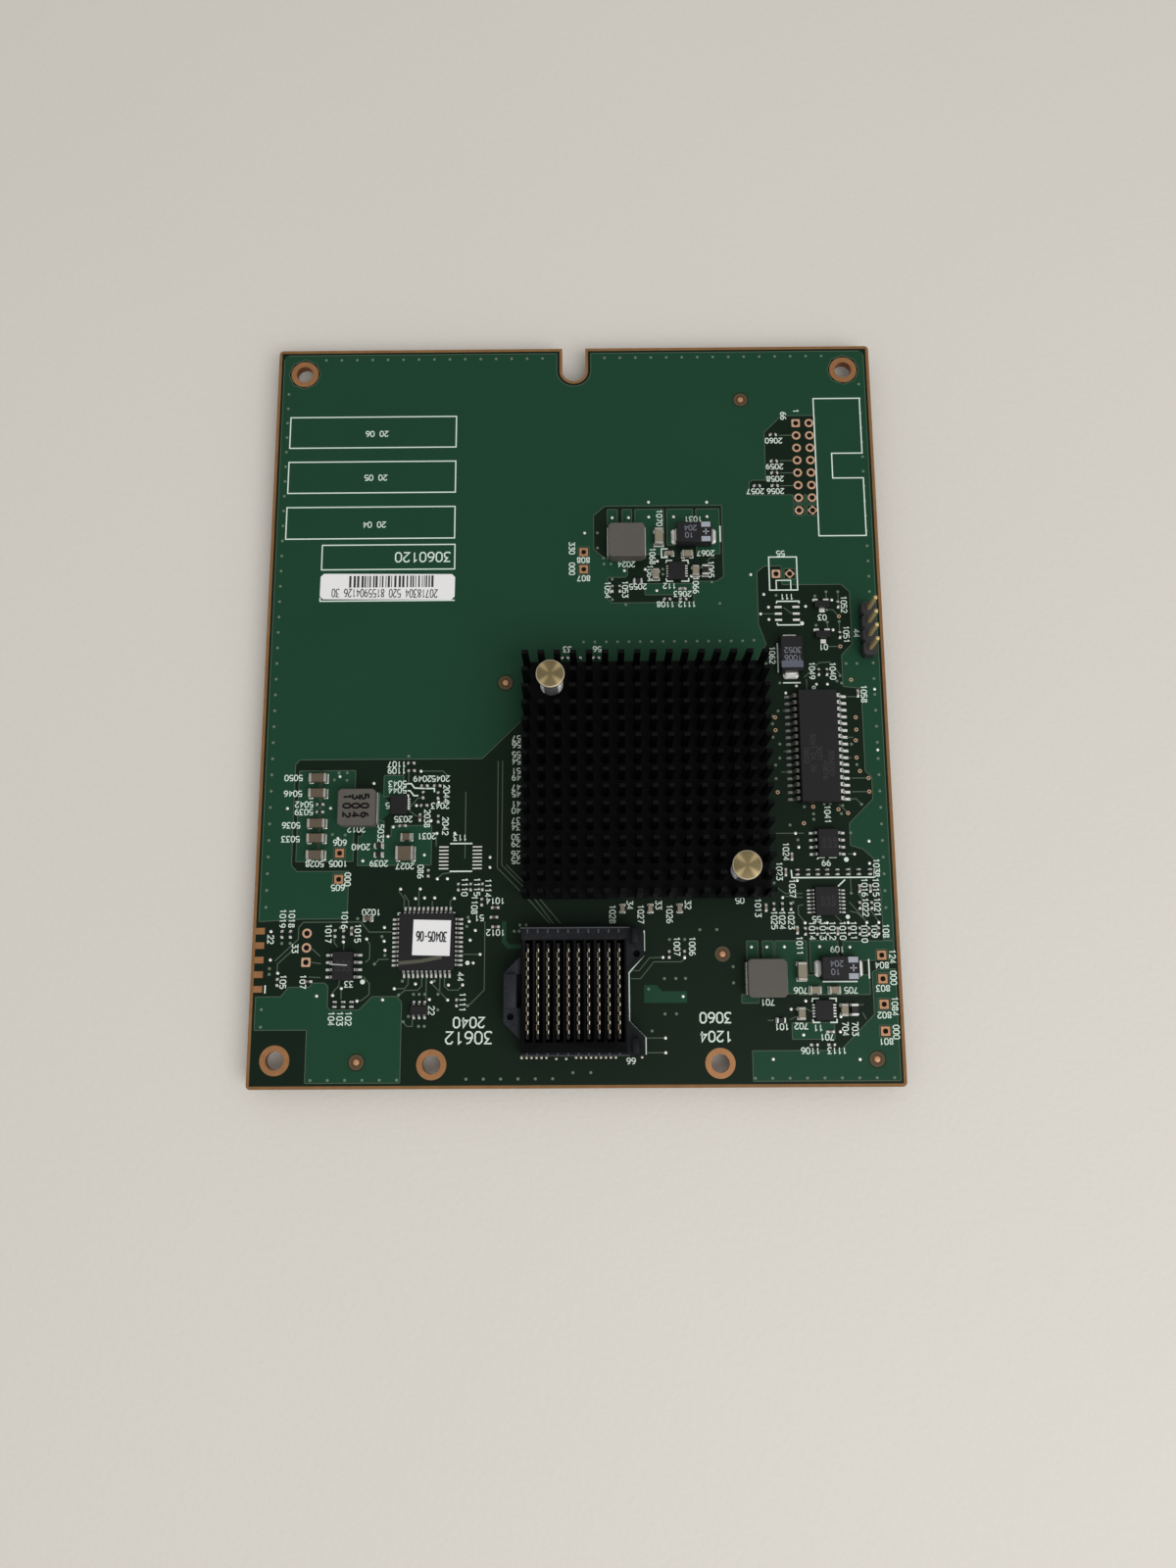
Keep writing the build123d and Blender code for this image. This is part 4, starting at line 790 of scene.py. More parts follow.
DOWNWARD = [
    ("1110", -19.7, -34.9), ("1115", -17.5, -34.9), ("1114", -15.5, -35.1), ("1062", 36.5, 7.6),
    ("1028", 6.6, -39.9), ("1027", 11.6, -39.9), ("1026", 16.7, -39.9), ("34", 9.7, -38.3),
    ("33", 14.8, -38.3), ("32", 20, -38.3), ("1007", 17.9, -45.6), ("1006", 20.6, -45.6),
    ("1013", 32.4, -38.9), ("1", 42.6, 56.3), ("66", 40.2, 55.3), ("5032", -34.9, -25.2),
    ("2038", -26.6, -22.5), ("2044", -23.2, -18), ("2042", -23.3, -23.9), ("086", -27.6, -32.1),
    ("000", -40.6, -33.4), ("1019", -51.9, -40.3), ("1018", -50.3, -40.3), ("22", -53.9, -44),
    ("33", -49.5, -45.6), ("1017", -43.7, -43), ("1016", -40.9, -40.6), ("1015", -38.5, -43),
    ("105", -51.4, -51.4), ("107", -47.9, -51.4), ("104", -42.7, -57.8), ("103", -41.2, -57.8),
    ("102", -39.7, -57.8), ("1111", -19.8, -55.1), ("1108", -17.9, -38.1), ("22", -25.2, -56.5),
    ("44", -20.2, -50.7), ("1052", 50.1, 17.3), ("1051", 50.3, 11.5), ("44", 52.2, 11.7),
    ("1049", 43.7, 4.6), ("1040", 47.5, 4.5), ("1058", 53, 0.1), ("1041", 45.4, -22.2),
    ("1024", 37.7, -28.9), ("1023", 36.4, -32.4), ("1037", 38.6, -35.5), ("1038", 53.7, -31.9),
    ("1016", 51.4, -35.4), ("1015", 53.4, -35.4), ("1022", 51.4, -38.9), ("1021", 53.5, -38.9),
    ("1025", 35.2, -41.1), ("1024", 36.6, -41.1), ("1023", 38.2, -41.1), ("1014", 41.8, -43),
    ("1013", 43.7, -43), ("1012", 45.4, -43), ("1010", 47.2, -43), ("1011", 49.1, -43), ("1010", 51, -43.5),
    ("109", 52.8, -43.1), ("108", 54.8, -43.1), ("1011", 39.5, -45.6), ("124", 55.7, -47.6),
    ("000", 55.7, -51.3), ("1084", 55.7, -56.2), ("000", 55.7, -60.6), ("704", 46.9, -60),
    ("703", 48.6, -60), ("330", -0.4, 28.8), ("000", -0.4, 24.7), ("1070", 16.1, 34.7), ("1068", 14.7, 27.1),
    ("1064", 14.2, 23.7), ("1065", 25.6, 24.4), ("1066", 22.7, 21.3), ("1054", 6.25, 20.5),
    ("1053", 9.5, 20.6)]
INK_LINES = [
    [(37.6, 17.6), (37.7, 18), (41.8, 18), (41.8, 17.6)], [(37.6, 13.8), (37.7, 13.4), (41.8, 13.4),
    (42.1, 13.7)], [(-47.45, 19.4), (-47.45, 18.7), (-22.3, 18.7)], [(38.3, 2.3), (41.5, 2.3)], [(27.5, 33),
    (27.5, 29.8)], [(19.6, 29.1), (25.3, 29.1)], [(17.6, 28.5), (16.4, 28.5), (16.4, 26.8), (17.6, 26.8)],
    [(17.2, 25.7), (17.3, 26.2), (18.4, 26.2)], [(20.2, 26.2), (21.3, 26.2), (21.4, 25.5)], [(17.2, 22.7),
    (17.3, 22.1), (18.5, 22.1)], [(20, 22.1), (21.4, 22.1), (21.4, 22.7)], [(41.3, -55.4), (41.4, -54.8),
    (42.5, -54.8)], [(44.3, -54.8), (45.5, -54.8), (45.5, -55.4)], [(41.3, -58.4), (41.4, -58.9),
    (42.6, -58.9)], [(44.3, -58.9), (45.5, -58.9), (45.5, -58.3)], [(51.5, -48), (51.5, -51.4)],
    [(43.3, -51.9), (49.4, -51.9)], [(38.5, -32.2), (38.6, -33.6), (53.2, -33.6), (53.3, -32)],
    [(46.7, -35.2), (48, -34)], [(43.2, -30.3), (43.5, -30), (44.6, -30)], [(45.3, -30), (46.7, -30)],
    [(-33, -21.5), (-30.4, -21.5)], [(-30.1, -18.6), (-30.1, -20.9)], [(-30.4, -16.1), (-29.6, -16.1),
    (-29, -16.9), (-27.1, -17)], [(-30.3, -17.4), (-29.8, -17.4), (-29.1, -18.3), (-28.3, -18.3)],
    [(-27, -17), (-25.4, -17), (-25.4, -17.7)], [(-22.4, -27.1), (-18.4, -27.1)], [(-22.4, -32.1),
    (-18.4, -32.1)], [(-31.4, -39.9), (-31.4, -39.5), (-31, -39.4)], [(-21.8, -39.4), (-21.4, -39.5),
    (-21.4, -39.9)], [(-54.5, -52), (-54.5, -53.4)], [(12.15, -42.8), (12.15, -46.4)], [(37.5, 9.9),
    (37.5, 4.3)], [(12, -47.2), (9.4, -50.2), (9.4, -58.6), (12.2, -61.4), (12.2, -64.2)]]
INK_DOTS = [
    (-37.4, -51.5, 0.42), (-19, -48.3, 0.38), (48.4, -30.4, 0.42), (48.2, -40.6, 0.38), (42.2, 13.7, 0.38)]


class RAID_OT_print(RaidOperator, bpy.types.Operator):
    """Prints the frames, plain part numbers, outlines and the labels"""
    bl_idname = "raid.print_marks"
    bl_label = "Print"

    def execute(self, context):
        s = context.scene.raid_print
        paper = plastic("paper", s.paper_colour, 0.7, 7, 0.01, 0.04)
        for node in ("barcode_label", "logic_tag"):
            paint(node, paper)
        marks = Shape()
        self.numbers(marks, s.digit_height)
        self.outlines(marks)
        self.frames(s.frame_line)
        piece("part_numbers", marks, ink())
        self.label()
        return {"FINISHED"}

    def numbers(self, marks, size):
        """Plain digits beside the parts, in the frames and down the left side of the heat sink."""
        for turn, group in ((180, UPSIDE_DOWN), (-90, DOWNWARD)):
            for text, x, y in group:
                number(marks, text, x, y, size, turn)
        for k, text in enumerate("57 56 55 54 51 49 47 45 41 40 37 34 30 29 26 25".split()):
            number(marks, text, -10.6, -7.8 - 3.03 * (k // 2) - 1.25 * (k % 2), size, 180)
        for text, x, y, high, line in (
                ("3060", 24.4, -58.0, 1.7, 0.26), ("1204", 24.4, -61.2, 1.7, 0.26),
                ("2040", -18.6, -58.6, 1.7, 0.26), ("30612", -18.6, -61.2, 2.0, 0.26),
                ("20 06", -37.7, 52.3, 1.05, None), ("20 05", -37.7, 43.3, 1.05, None),
                ("20 04", -37.7, 33.8, 1.05, None), ("3060120", -28.4, 27.25, 1.8, 0.25)):
            number(marks, text, x, y, high, 180, line=line)

    def outlines(self, marks):
        """Lines and dots beside the parts, and the outline of the empty two-way plug."""
        for points in INK_LINES:
            marks.add(*stroke(points, 0.24, TOP, PRINT_T))
        for x, y, radius in INK_DOTS:
            marks.repeat(lathe([(radius, 0), (radius, PRINT_T)], 16), (x, y, TOP))
        for x, front, wide, deep, line in ((36.45, 20.2, 5.2, 6.5, 0.22), (37.7, 20.3, 2.7, 1.8, 0.2)):
            corners = [(x, front), (x, front + deep), (x + wide, front + deep), (x + wide, front)]
            marks.add(*stroke(corners, line, TOP, PRINT_T, wide > 3))

    def frames(self, line):
        """Thin lines along the printed outlines, the plug's own with the notch in its right side."""
        lines = Shape()
        for low, high in islands("print_frames"):
            (left, front), (right, back) = low[:2] + line / 2, high[:2] - line / 2
            corners = [(left, front), (right, front), (right, back), (left, back)]
            if left > 0:
                notch, a, b = right - 5.8, front + 11.6, front + 16.65
                corners[2:2] = [(right, a), (notch, a), (notch, b), (right, b)]
            lines.add(*stroke(corners, line, low[2], high[2] - low[2], True))
        piece("frame_lines", lines, ink(), None, ("print_frames",))

    def label(self):
        """Bars and digits on the blank label, and digits on the square package's tag."""
        paper, tag = cad("barcode_label")[1][2], cad("logic_tag")
        bars = Shape()
        rng = np.random.default_rng(4)
        x, right, front, back = -42.1, -26.1, 21.3, 23.6
        while x < right:
            wide = rng.choice((0.16, 0.28, 0.42))
            bars.add(*loft([level([(x, front), (x + wide, front), (x + wide, back), (x, back)], z)
                            for z in (paper - 0.01, paper + 0.008)]))
            x += wide + rng.choice((0.16, 0.24, 0.4))
        number(bars, "20718304 520 8155904126 30", -35.4, 20.15, 1.5, 179.2, paper - 0.01, 0.17, 0.6)
        x, y, _ = (tag[0] + tag[1]) / 2
        number(bars, "30405-06", x, y + 0.2, 1.6, 178.5, tag[1][2] - 0.012, 0.25, 0.5)
        black = plastic("label_ink", (0.016, 0.016, 0.018), 0.6, 5, 0.01)
        piece("label_bars", bars, black)


# ---------------------------------------------------------------- heat sink
class RAID_OT_heat_sink(RaidOperator, bpy.types.Operator):
    """Makes the pin-fin heat sink, its push pins and springs, and colours the chip below"""
    bl_idname = "raid.heat_sink"
    bl_label = "Heat sink"

    def execute(self, context):
        s = context.scene.raid_sink
        pins = middles("push_pins")
        centres = [mid[:2] for mid, *_ in pins]
        _, _, (_, _, lowest), (_, _, top) = pins[0]
        self.fins(s, centres)
        self.push_pins(s.pin_colour, centres, lowest, top)
        self.springs(s.spring_turns, centres)
        paint("controller_package", plastic("chip_substrate", (0.015, 0.04, 0.024), 0.5))
        paint("thermal_paste", plastic("paste", (0.5, 0.5, 0.5), 0.6, 1.5, 0.08))
        return {"FINISHED"}

    def fins(self, s, centres):
        """Base plate, and the tapered fins that stand clear of the push pins."""
        low, high = cad("heat_sink")
        wide, deep, base, clear = 1.15, 1.05, 2.0, 3.6
        middle, size = (low + high) / 2, high - low
        shape = Shape().repeat(block(*size[:2], base, 0.08), (*middle[:2], low[2]))
        corners = np.array([(-0.5, -0.5), (0.5, -0.5), (0.5, 0.5), (-0.5, 0.5)])
        fin = loft([level(corners * [wide * a, deep * b], (size[2] - base) * c) for a, b, c in
                    ((1, 1, 0), (0.98, 0.74, 0.98), (0.88, 0.62, 1))])
        xs = np.linspace(low[0] + wide / 2, high[0] - wide / 2, s.fin_columns)
        ys = np.linspace(low[1] + deep / 2, high[1] - deep / 2, s.fin_rows)
        shape.repeat(fin, [(x, y, low[2] + base) for x in xs for y in ys
                           if all(np.hypot(x - a, y - b) > clear for a, b in centres)])
        anodised = plastic("black_anodised", s.sink_colour, 0.5, 5, 0.02, 0.35, 0.09)
        piece("fin_block", shape, anodised, None, ("heat_sink",))

    def push_pins(self, colour, centres, lowest, top):
        """Turned pins with a flat round head above and a barb below the board."""
        under = top - 0.9
        profile = [(0.6, lowest), (1.5, 2.5), (1.08, 2.55), (1.08, under), (2.35, under),
                   (2.5, under + 0.12), (2.5, top - 0.18), (2.34, top - 0.03), (2.2, top), (0.4, top)]
        pins = Shape().repeat(lathe(profile, 48), [(x, y, 0) for x, y in centres])
        brass = self.brass(colour, centres, top)
        piece("brass_push_pins", pins, brass, 25, ("push_pins",))

    def brass(self, colour, centres, top):
        """Turned brass: grooves round the middle of a head, painted glints across it along its diagonals,
        and a paler rim as a painted highlight.
        """
        f = Finish("brass")
        radii, glint_rays = [], []
        for cx, cy in centres:
            dx, dy = f.x - cx, f.y - cy
            r = (dx * dx + dy * dy).root() + 0.05
            radii.append(r)
            glint_rays.append((dx * dy / (r * r)).size() * 2 * (r < 2.9))
        turned, glint = reduce(Value.low, radii), reduce(Value.__add__, glint_rays)
        groove, cloud = (turned * 42).wave() * 0.5 + 0.5, f.noise(0.8, 3)
        f.bump(groove, 0.25, 0.02)
        # Painted highlight: narrow glints along each head's diagonals, with a little real tone from the
        # grooves and the cloud, mix a darker and a lighter copy of the pin colour.
        ray = glint * glint * glint * glint
        glint_and_grooves = ray * ray * 0.9 + groove * 0.10 + cloud * 0.2
        # Painted highlight: a pale ring round each head's upper edge.
        rim = (turned > 2.38) * (f.z > top - 0.3)
        face = f.mix(glint_and_grooves, shade(colour, 0.42), shade(colour, 1.9))
        return f.set(colour=f.mix(rim, face, (0.62, 0.56, 0.42)), metallic=0.75,
                     roughness=0.4 + cloud * 0.12)

    def springs(self, turns, centres):
        """Coil springs round the pins, clear of the sink's base and of the heads, with painted highlights
        down their left and right flanks.
        """
        (_, _, low), (_, _, high) = cad("pin_springs")
        coil, clear = 1.85, 0.33
        t = np.linspace(0, 1, int(turns * 20))
        angle = t * turns * 2 * pi
        path = np.column_stack([coil * np.cos(angle), coil * np.sin(angle),
                                low + clear + t * (high - low - 2 * clear)])
        coils = Shape().repeat(tube(path, 0.24, 8), [(x, y, 0) for x, y in centres])
        f = Finish("spring_steel")
        # Painted highlights: the coils turn white towards their left and right flanks and stay near-black
        # between them.
        flank_glints = []
        for cx, cy in centres:
            out, along = (f.x - cx).size(), (f.y - cy).size()
            flank_glints.append((out - 1.1) * 2.6 * (out < 2.6) * (along < 2.6))
        flank_glint = reduce(Value.high, flank_glints).high(0.05)
        streak = f.noise(1.4, 3, stretch=(1, 1, 3))
        f.bump(streak, 0.2, 0.02)
        steel = f.set(colour=f.mix(flank_glint.low(1), (0.05, 0.05, 0.055), (1.0, 1.0, 1.0)),
                      metallic=0.1, roughness=0.25 + streak * 0.1)
        piece("coil_springs", coils, steel, 60, ("pin_springs",))


# ---------------------------------------------------------------- connector
class RAID_OT_connector(RaidOperator, bpy.types.Operator):
    """Makes the mating connector with its wafers and spring contacts, and the pin header"""
    bl_idname = "raid.connector"
    bl_label = "Mating connector"

    def execute(self, context):
        s = context.scene.raid_connector
        housing = self.housing_finish(s.housing_colour)
        refined("connector_shell", "connector_housing", housing, 0.06)
        wafer = plastic("wafer_plastic", (0.010, 0.009, 0.008), 0.55, 10, 0.01, 0.2, 0.2)
        refined("wafer_blades", "connector_wafers", wafer, 0.04)
        self.contacts(s.contacts)
        self.ribs()
        black = plastic("header_plastic", (0.028, 0.028, 0.032), 0.5, specular=0.3)
        refined("header_block", "header_base", black, 0.05)
        posts = metal("header_gold", (0.60, 0.46, 0.21), 0.3, metallic=0.5)
        refined("header_pin_posts", "header_pins", posts, 0.04)
        return {"FINISHED"}

    def contacts(self, count):
        """Spring contacts along every wafer, with a duller shoulder between each two of them."""
        (_, front, _), (_, back, _) = cad("connector_contacts")
        ys = np.linspace(front + 0.4, back - 0.4, count)
        half = (ys[1] - ys[0]) / 2
        side = [(-0.12, -0.5), (0.12, -0.5), (0.13, -0.1), (0.05, 0.1), (-0.05, 0.1), (-0.12, -0.1)]
        tips, shoulders = Shape(), Shape()
        for (x, _, _), _, _, (_, _, z) in middles("connector_wafers"):
            tips.repeat(bar(side, 0.58), [(x + 0.12, y, z) for y in ys])
            shoulders.repeat(bar(side, 1.0), [(x - 0.16, y + half, z - 0.06) for y in ys[:-1]])
        bright = metal("contact_tips", (0.90, 0.84, 0.68), 0.3, metallic=0.3)
        dull = metal("contact_backs", (0.30, 0.245, 0.15), 0.4, metallic=0.5)
        piece("spring_contacts", tips, bright, None, ("connector_contacts",))
        piece("contact_shoulders", shoulders, dull)

    def ribs(self):
        """Ribs at both ends of every slot, and one along the back and one along the front, much paler than
        the shell as painted edge highlights.
        """
        low, high = cad("connector_housing")
        z = cad("connector_wafers")[1][2] + 0.59
        ribs = Shape()
        for (x, _, _), *_ in middles("connector_wafers"):
            for y, deep in ((high[1] - 0.75, 0.7), (low[1] + 0.35, 0.4)):
                ribs.repeat(block(0.26, deep, 0.12, 0.05), (x, y, z))
        for y, wide, deep in ((high[1] - 0.2, 19.0, 0.22), (low[1] + 0.12, 18.6, 0.16)):
            ribs.repeat(block(wide, deep, 0.12, 0.05), (0, y, z))
        # Painted highlight: the ribs' pale grey stands for light caught by the shell's edges.
        edge = plastic("rib_edge_highlight", (0.050, 0.054, 0.066), 0.45, 8, 0.01, 0.3, 0.4)
        piece("shell_ribs", ribs, edge)

    def housing_finish(self, colour):
        """Moulded shell: cloudy grey rim, and painted shade that blackens the field where the slots are."""
        f = Finish("connector_plastic")
        low, high = cad("connector_wafers")
        middle, half = (low[0] + high[0]) / 2, (high[0] - low[0]) / 2
        # Painted shade: the field of the slots, where the walls stand in deep shade, is painted nearly
        # black.
        inner = ((f.x - middle).size() < half + 1.0) * (f.y < high[1] + 0.6) * (f.y > FRONT + 6.1)
        fine, cloud = f.noise(8, 3), f.noise(0.7, 3)
        f.bump(fine * 0.6 + cloud * 0.4, 0.4, 0.03)
        grey = f.mix(cloud * 0.5 + f.noise(2.5, 3) * 0.5, shade(colour, 0.3), shade(colour, 1.7))
        pale = f.mix(cloud * 0.4 + f.noise(1.6, 3) * 0.6, shade(colour, 0.9), shade(colour, 3.4))
        rim = f.mix(f.x < low[0] - 1.4, grey, pale)
        return f.set(colour=f.mix(inner, rim, shade(colour, 0.06)), specular=0.07,
                     roughness=0.42 + cloud * 0.1)


# ---------------------------------------------------------------- packages
class RAID_OT_packages(RaidOperator, bpy.types.Operator):
    """Makes the moulded packages with their leads and solder"""
    bl_idname = "raid.packages"
    bl_label = "Leaded packages"

    def execute(self, context):
        for name, node, bevel in (("memory_mould", "memory_body", 0.08),
                                  ("logic_mould", "logic_body", 0.06),
                                  ("small_moulds", "small_chip_bodies", 0.05),
                                  ("regulator_moulds", "regulator_chips", 0.04)):
            refined(name, node, epoxy(), bevel)
        self.gulls("memory", "memory_leads", "memory_body", 0.32, 1.5, self.memory_tin())
        self.gulls("logic", "logic_leads", "logic_body", 0.3, 1.1, tinned())
        self.gulls("small", "small_chip_leads", "small_chip_bodies", 0.3, 1.1, tinned())
        return {"FINISHED"}

    def gulls(self, family, node, body_node, knee, wide, finish):
        """Gull-wing leads in the places of the CAD leads, each with solder round its foot.

        The knee is the share of a lead's reach that lies high, wide how much broader it is there.
        """
        leads, feet = Shape(), Shape()
        bodies = islands(body_node)
        centres = bodies.mean(1)[:, :2]
        for mid, size, low, _ in middles(node):
            own = np.argmin(np.linalg.norm(centres - mid[:2], axis=1))
            along_x = not bodies[own][0][0] <= mid[0] <= bodies[own][1][0]
            reach, width = size[:2] if along_x else size[1::-1]
            out = mid[:2] - centres[own]
            turn = (0 if out[0] > 0 else 180) if along_x else (90 if out[1] > 0 else -90)
            h, t = size[2], 0.15
            a, b = -reach / 2, (knee - 0.5) * reach
            high = [(b + t * .5, h - .04), (b, h)]
            side = [(b - t, h - t), (b - t * .3, h - t), (a + reach * .58, 0), (reach / 2, 0),
                    (reach / 2, t), (a + reach * .66, t), *high, (b - t, h)]
            leads.repeat(bar(side, width), (*mid[:2], low[2]), turn)
            shoulder = [(a, h - t), (b - t * .3, h - t), (b + .3 * t, h * .62), (b + t * .9, h * .62),
                        *high, (a, h)]
            leads.repeat(bar(shoulder, width * wide), (*mid[:2], low[2]), turn)
            foot = mid[:2] + np.array([cos(radians(turn)), sin(radians(turn))]) * reach * 0.27
            feet.repeat(block(reach * 0.72, width * 1.05, 0.05, 0.02), (*foot, TOP), turn)
        piece(family + "_gull_leads", leads, finish, None, (node,))
        piece(family + "_solder_lands", feet, finish)

    def memory_tin(self):
        """Tin of the memory chip's leads: a painted reflection brightens the leads on the side away from the
        heat sink, and painted shade dulls those on the side towards it.
        """
        f = Finish("memory_tin")
        low, high = cad("memory_body")
        fine = f.noise(4, 3)
        f.bump(fine, 0.3, 0.01)
        # Painted reflection and shade: bright tin to the right of the chip's middle, dark tin to the left of
        # it.
        bright = f.mix(fine, (0.62, 0.62, 0.60), (0.85, 0.85, 0.83))
        dull = f.mix(fine, (0.13, 0.13, 0.125), (0.26, 0.26, 0.25))
        return f.set(colour=f.mix(f.x > (low[0] + high[0]) / 2, dull, bright), metallic=0.6,
                     roughness=0.34 + fine * 0.1)


# ---------------------------------------------------------------- passive parts
class RAID_OT_passives(RaidOperator, bpy.types.Operator):
    """Makes the chokes, capacitors and resistors with their solder"""
    bl_idname = "raid.passives"
    bl_label = "Chokes, capacitors and resistors"

    def execute(self, context):
        powder = plastic("iron_powder", (0.094, 0.086, 0.074), 0.6, 5, 0.05, 0.25, 0.25)
        refined("choke_bodies", "choke_blocks", powder, 0.18, 2)
        refined("choke_tabs", "choke_terminals", tinned(), 0.05)
        mould = plastic("tantalum_epoxy", (0.0115, 0.0115, 0.0135), 0.5, 8, 0.015, 0.2, 0.2)
        refined("tantalum_moulds", "tantalum_bodies", mould, 0.12)
        refined("tantalum_straps", "tantalum_terminals", tinned(), 0.05)
        self.bands()
        tan = MATERIALS["tan_ceramic"] = self.ceramic()
        refined("ceramic_blocks", "ceramic_bodies", tan, 0.06)
        dull = metal("ceramic_tin", (0.40, 0.39, 0.345), 0.4, 3, depth=0.03, spread=0.4, metallic=0.6)
        refined("ceramic_caps", "ceramic_ends", dull, 0.07)
        refined("resistor_blocks", "resistor_bodies", glaze(), 0.04)
        refined("resistor_caps", "resistor_ends", tinned(), 0.05)
        paint("underside_bodies", tan)
        paint("underside_ends", tinned())
        self.fillets()
        return {"FINISHED"}

    def ceramic(self):
        """Fired ceramic: brown for the large capacitors on the left, paler and greyer on the right."""
        f = Finish("tan_ceramic")
        fine, cloud = f.noise(7, 3), f.noise(0.35, 2)
        f.bump(fine, 0.35, 0.02)
        tone = fine * 0.5 + cloud * 0.5
        brown = f.mix(tone, (0.085, 0.064, 0.042), (0.122, 0.093, 0.064))
        grey = f.mix(tone, (0.190, 0.165, 0.115), (0.270, 0.240, 0.175))
        return f.set(colour=f.mix(f.x > -10, brown, grey), roughness=0.42, specular=0.3)

    def bands(self):
        """Polarity marks of the tantalums: a full band, or two blocks with a plus between them."""
        marks, light = Shape(), Shape()
        for mid, size, low, _ in middles("tantalum_bands"):
            if size[0] > size[1]:
                marks.repeat(block(*size), (*mid[:2], low[2]))
                continue
            ends = [(mid[0], mid[1] + side * size[1] * 0.36, low[2]) for side in (-1, 1)]
            light.repeat(block(size[0] * 1.35, size[1] * 0.25, size[2]), ends)
            number(light, "+", *mid[:2], 2.0, 0, low[2], 0.2)
        band = plastic("band_print", (0.105, 0.115, 0.15), 0.55, 6, 0.01, 0.08, 0.2)
        pale = plastic("band_pale", (0.33, 0.36, 0.40), 0.55, 6, 0.01, 0.08, 0.2)
        piece("polarity_band", marks, band, None, ("tantalum_bands",))
        piece("polarity_blocks", light, pale)

    def fillets(self):
        """Solder under the ends of the chips and in front of both ends of the tantalums."""
        fillets = Shape()
        for node, spare in (("ceramic_ends", 0.3), ("resistor_ends", 0.2)):
            for mid, size, *_ in middles(node):
                foot = block(size[0] + spare, size[1] + spare * 0.7, 0.16, 0.12, 0.1)
                fillets.repeat(foot, (*mid[:2], POUR - 0.04))
        for mid, size, *_ in middles("tantalum_bodies"):
            along = np.array([size[0] > size[1], size[0] <= size[1]])
            mound = block(*np.where(along, 1.2, size[:2].min() * 0.66), 0.75, 0.3, 0.35)
            for side in (-1, 1):
                fillets.repeat(mound, (*(mid[:2] + side * along * (size[:2] / 2 + 0.35)), TOP))
        piece("solder_fillets", fillets, solder())


# ---------------------------------------------------------------- fine chips and bare lands
UPRIGHT_CHIPS = [
    (-51.9, -43.1), (-50.4, -43.1), (-42.5, -43), (-41, -43.1), (-52.4, -51.5), (-27.4, -18.2),
    (-24.7, -18.3), (-24.6, -22.6), (-26.2, -32.4), (-20.8, -55.2), (-20.8, -34.9), (-18.6, -34.9),
    (-16.5, -34.9), (-16.6, -37.6), (7.1, 20.7), (8.5, 20.7), (49, 17.3), (49.1, 11.4), (46.4, 4.3),
    (44.9, 4.3), (35.2, -38.7), (36.7, -38.7), (38.2, -38.7), (40.6, -43.1), (42.7, -43.1), (44.5, -43.1),
    (48.3, -43.1), (50.2, -43.1), (51.8, -43.1), (53.5, -43.1), (50.4, -38.6), (52.5, -38.6), (16.5, -47),
    (19.2, -47)]
FLAT_CHIPS = [
    (-46, -19.8), (-46, -21.2), (-29.7, -12.3), (-29.6, -13.7), (-27.2, -20.1), (-27.2, -16.5),
    (-24.9, -16.5), (-36.6, -40.5), (17.3, 18.6), (20.3, 18.6), (41.4, -62.7), (44.4, -62.7), (38.1, 51.4),
    (38.1, 46), (38.1, 43.6), (38.1, 41), (34.7, 41), (-1.7, 7.3), (0.6, 7.3), (4, 7.3)]
UPRIGHT_TAN = [
    (-27.9, -22.3), (-39.6, -42.6), (39.2, -42.9), (46.3, -43.1), (33.8, -38.9), (50.5, -35.6),
    (52.4, -35.6), (38.7, -29.8), (37.5, -32.6), (51.9, 0.2)]
FLAT_TAN = [
    (-47, -51.4), (-14.2, -38.6), (-14.4, -40.3), (-14.1, -42), (44.3, -60.5), (20.2, 20.6), (-31, -23.8)]
BARE_PADS = ([(x, y, 1.3, 0.42) for y in (16.9, 15.6, 14.4) for x in (37.9, 41.2)]
             + [(x, -29.65 + k * 0.65, 1.7, 0.24) for k in range(-3, 4) for x in (-23.5, -17.5)]
             + [(x, y, 1.0, 0.5) for y in (18.2, 12.4) for x in (44.8, 46.8)]
             + [(46.0, 16.2, 1.0, 0.8), (46.0, 10.2, 1.0, 0.8)]
             + [(x, 24.1 + k * 0.5, 0.5, 0.26) for k in range(-2, 3) for x in (17.5, 21.0)]
             + [(x, -56.9 + k * 0.5, 0.55, 0.26) for k in range(-2, 3) for x in (41.6, 45.2)]
             + [(-29.9, -18.9 - k * 0.45, 0.4, 0.24) for k in range(5)])


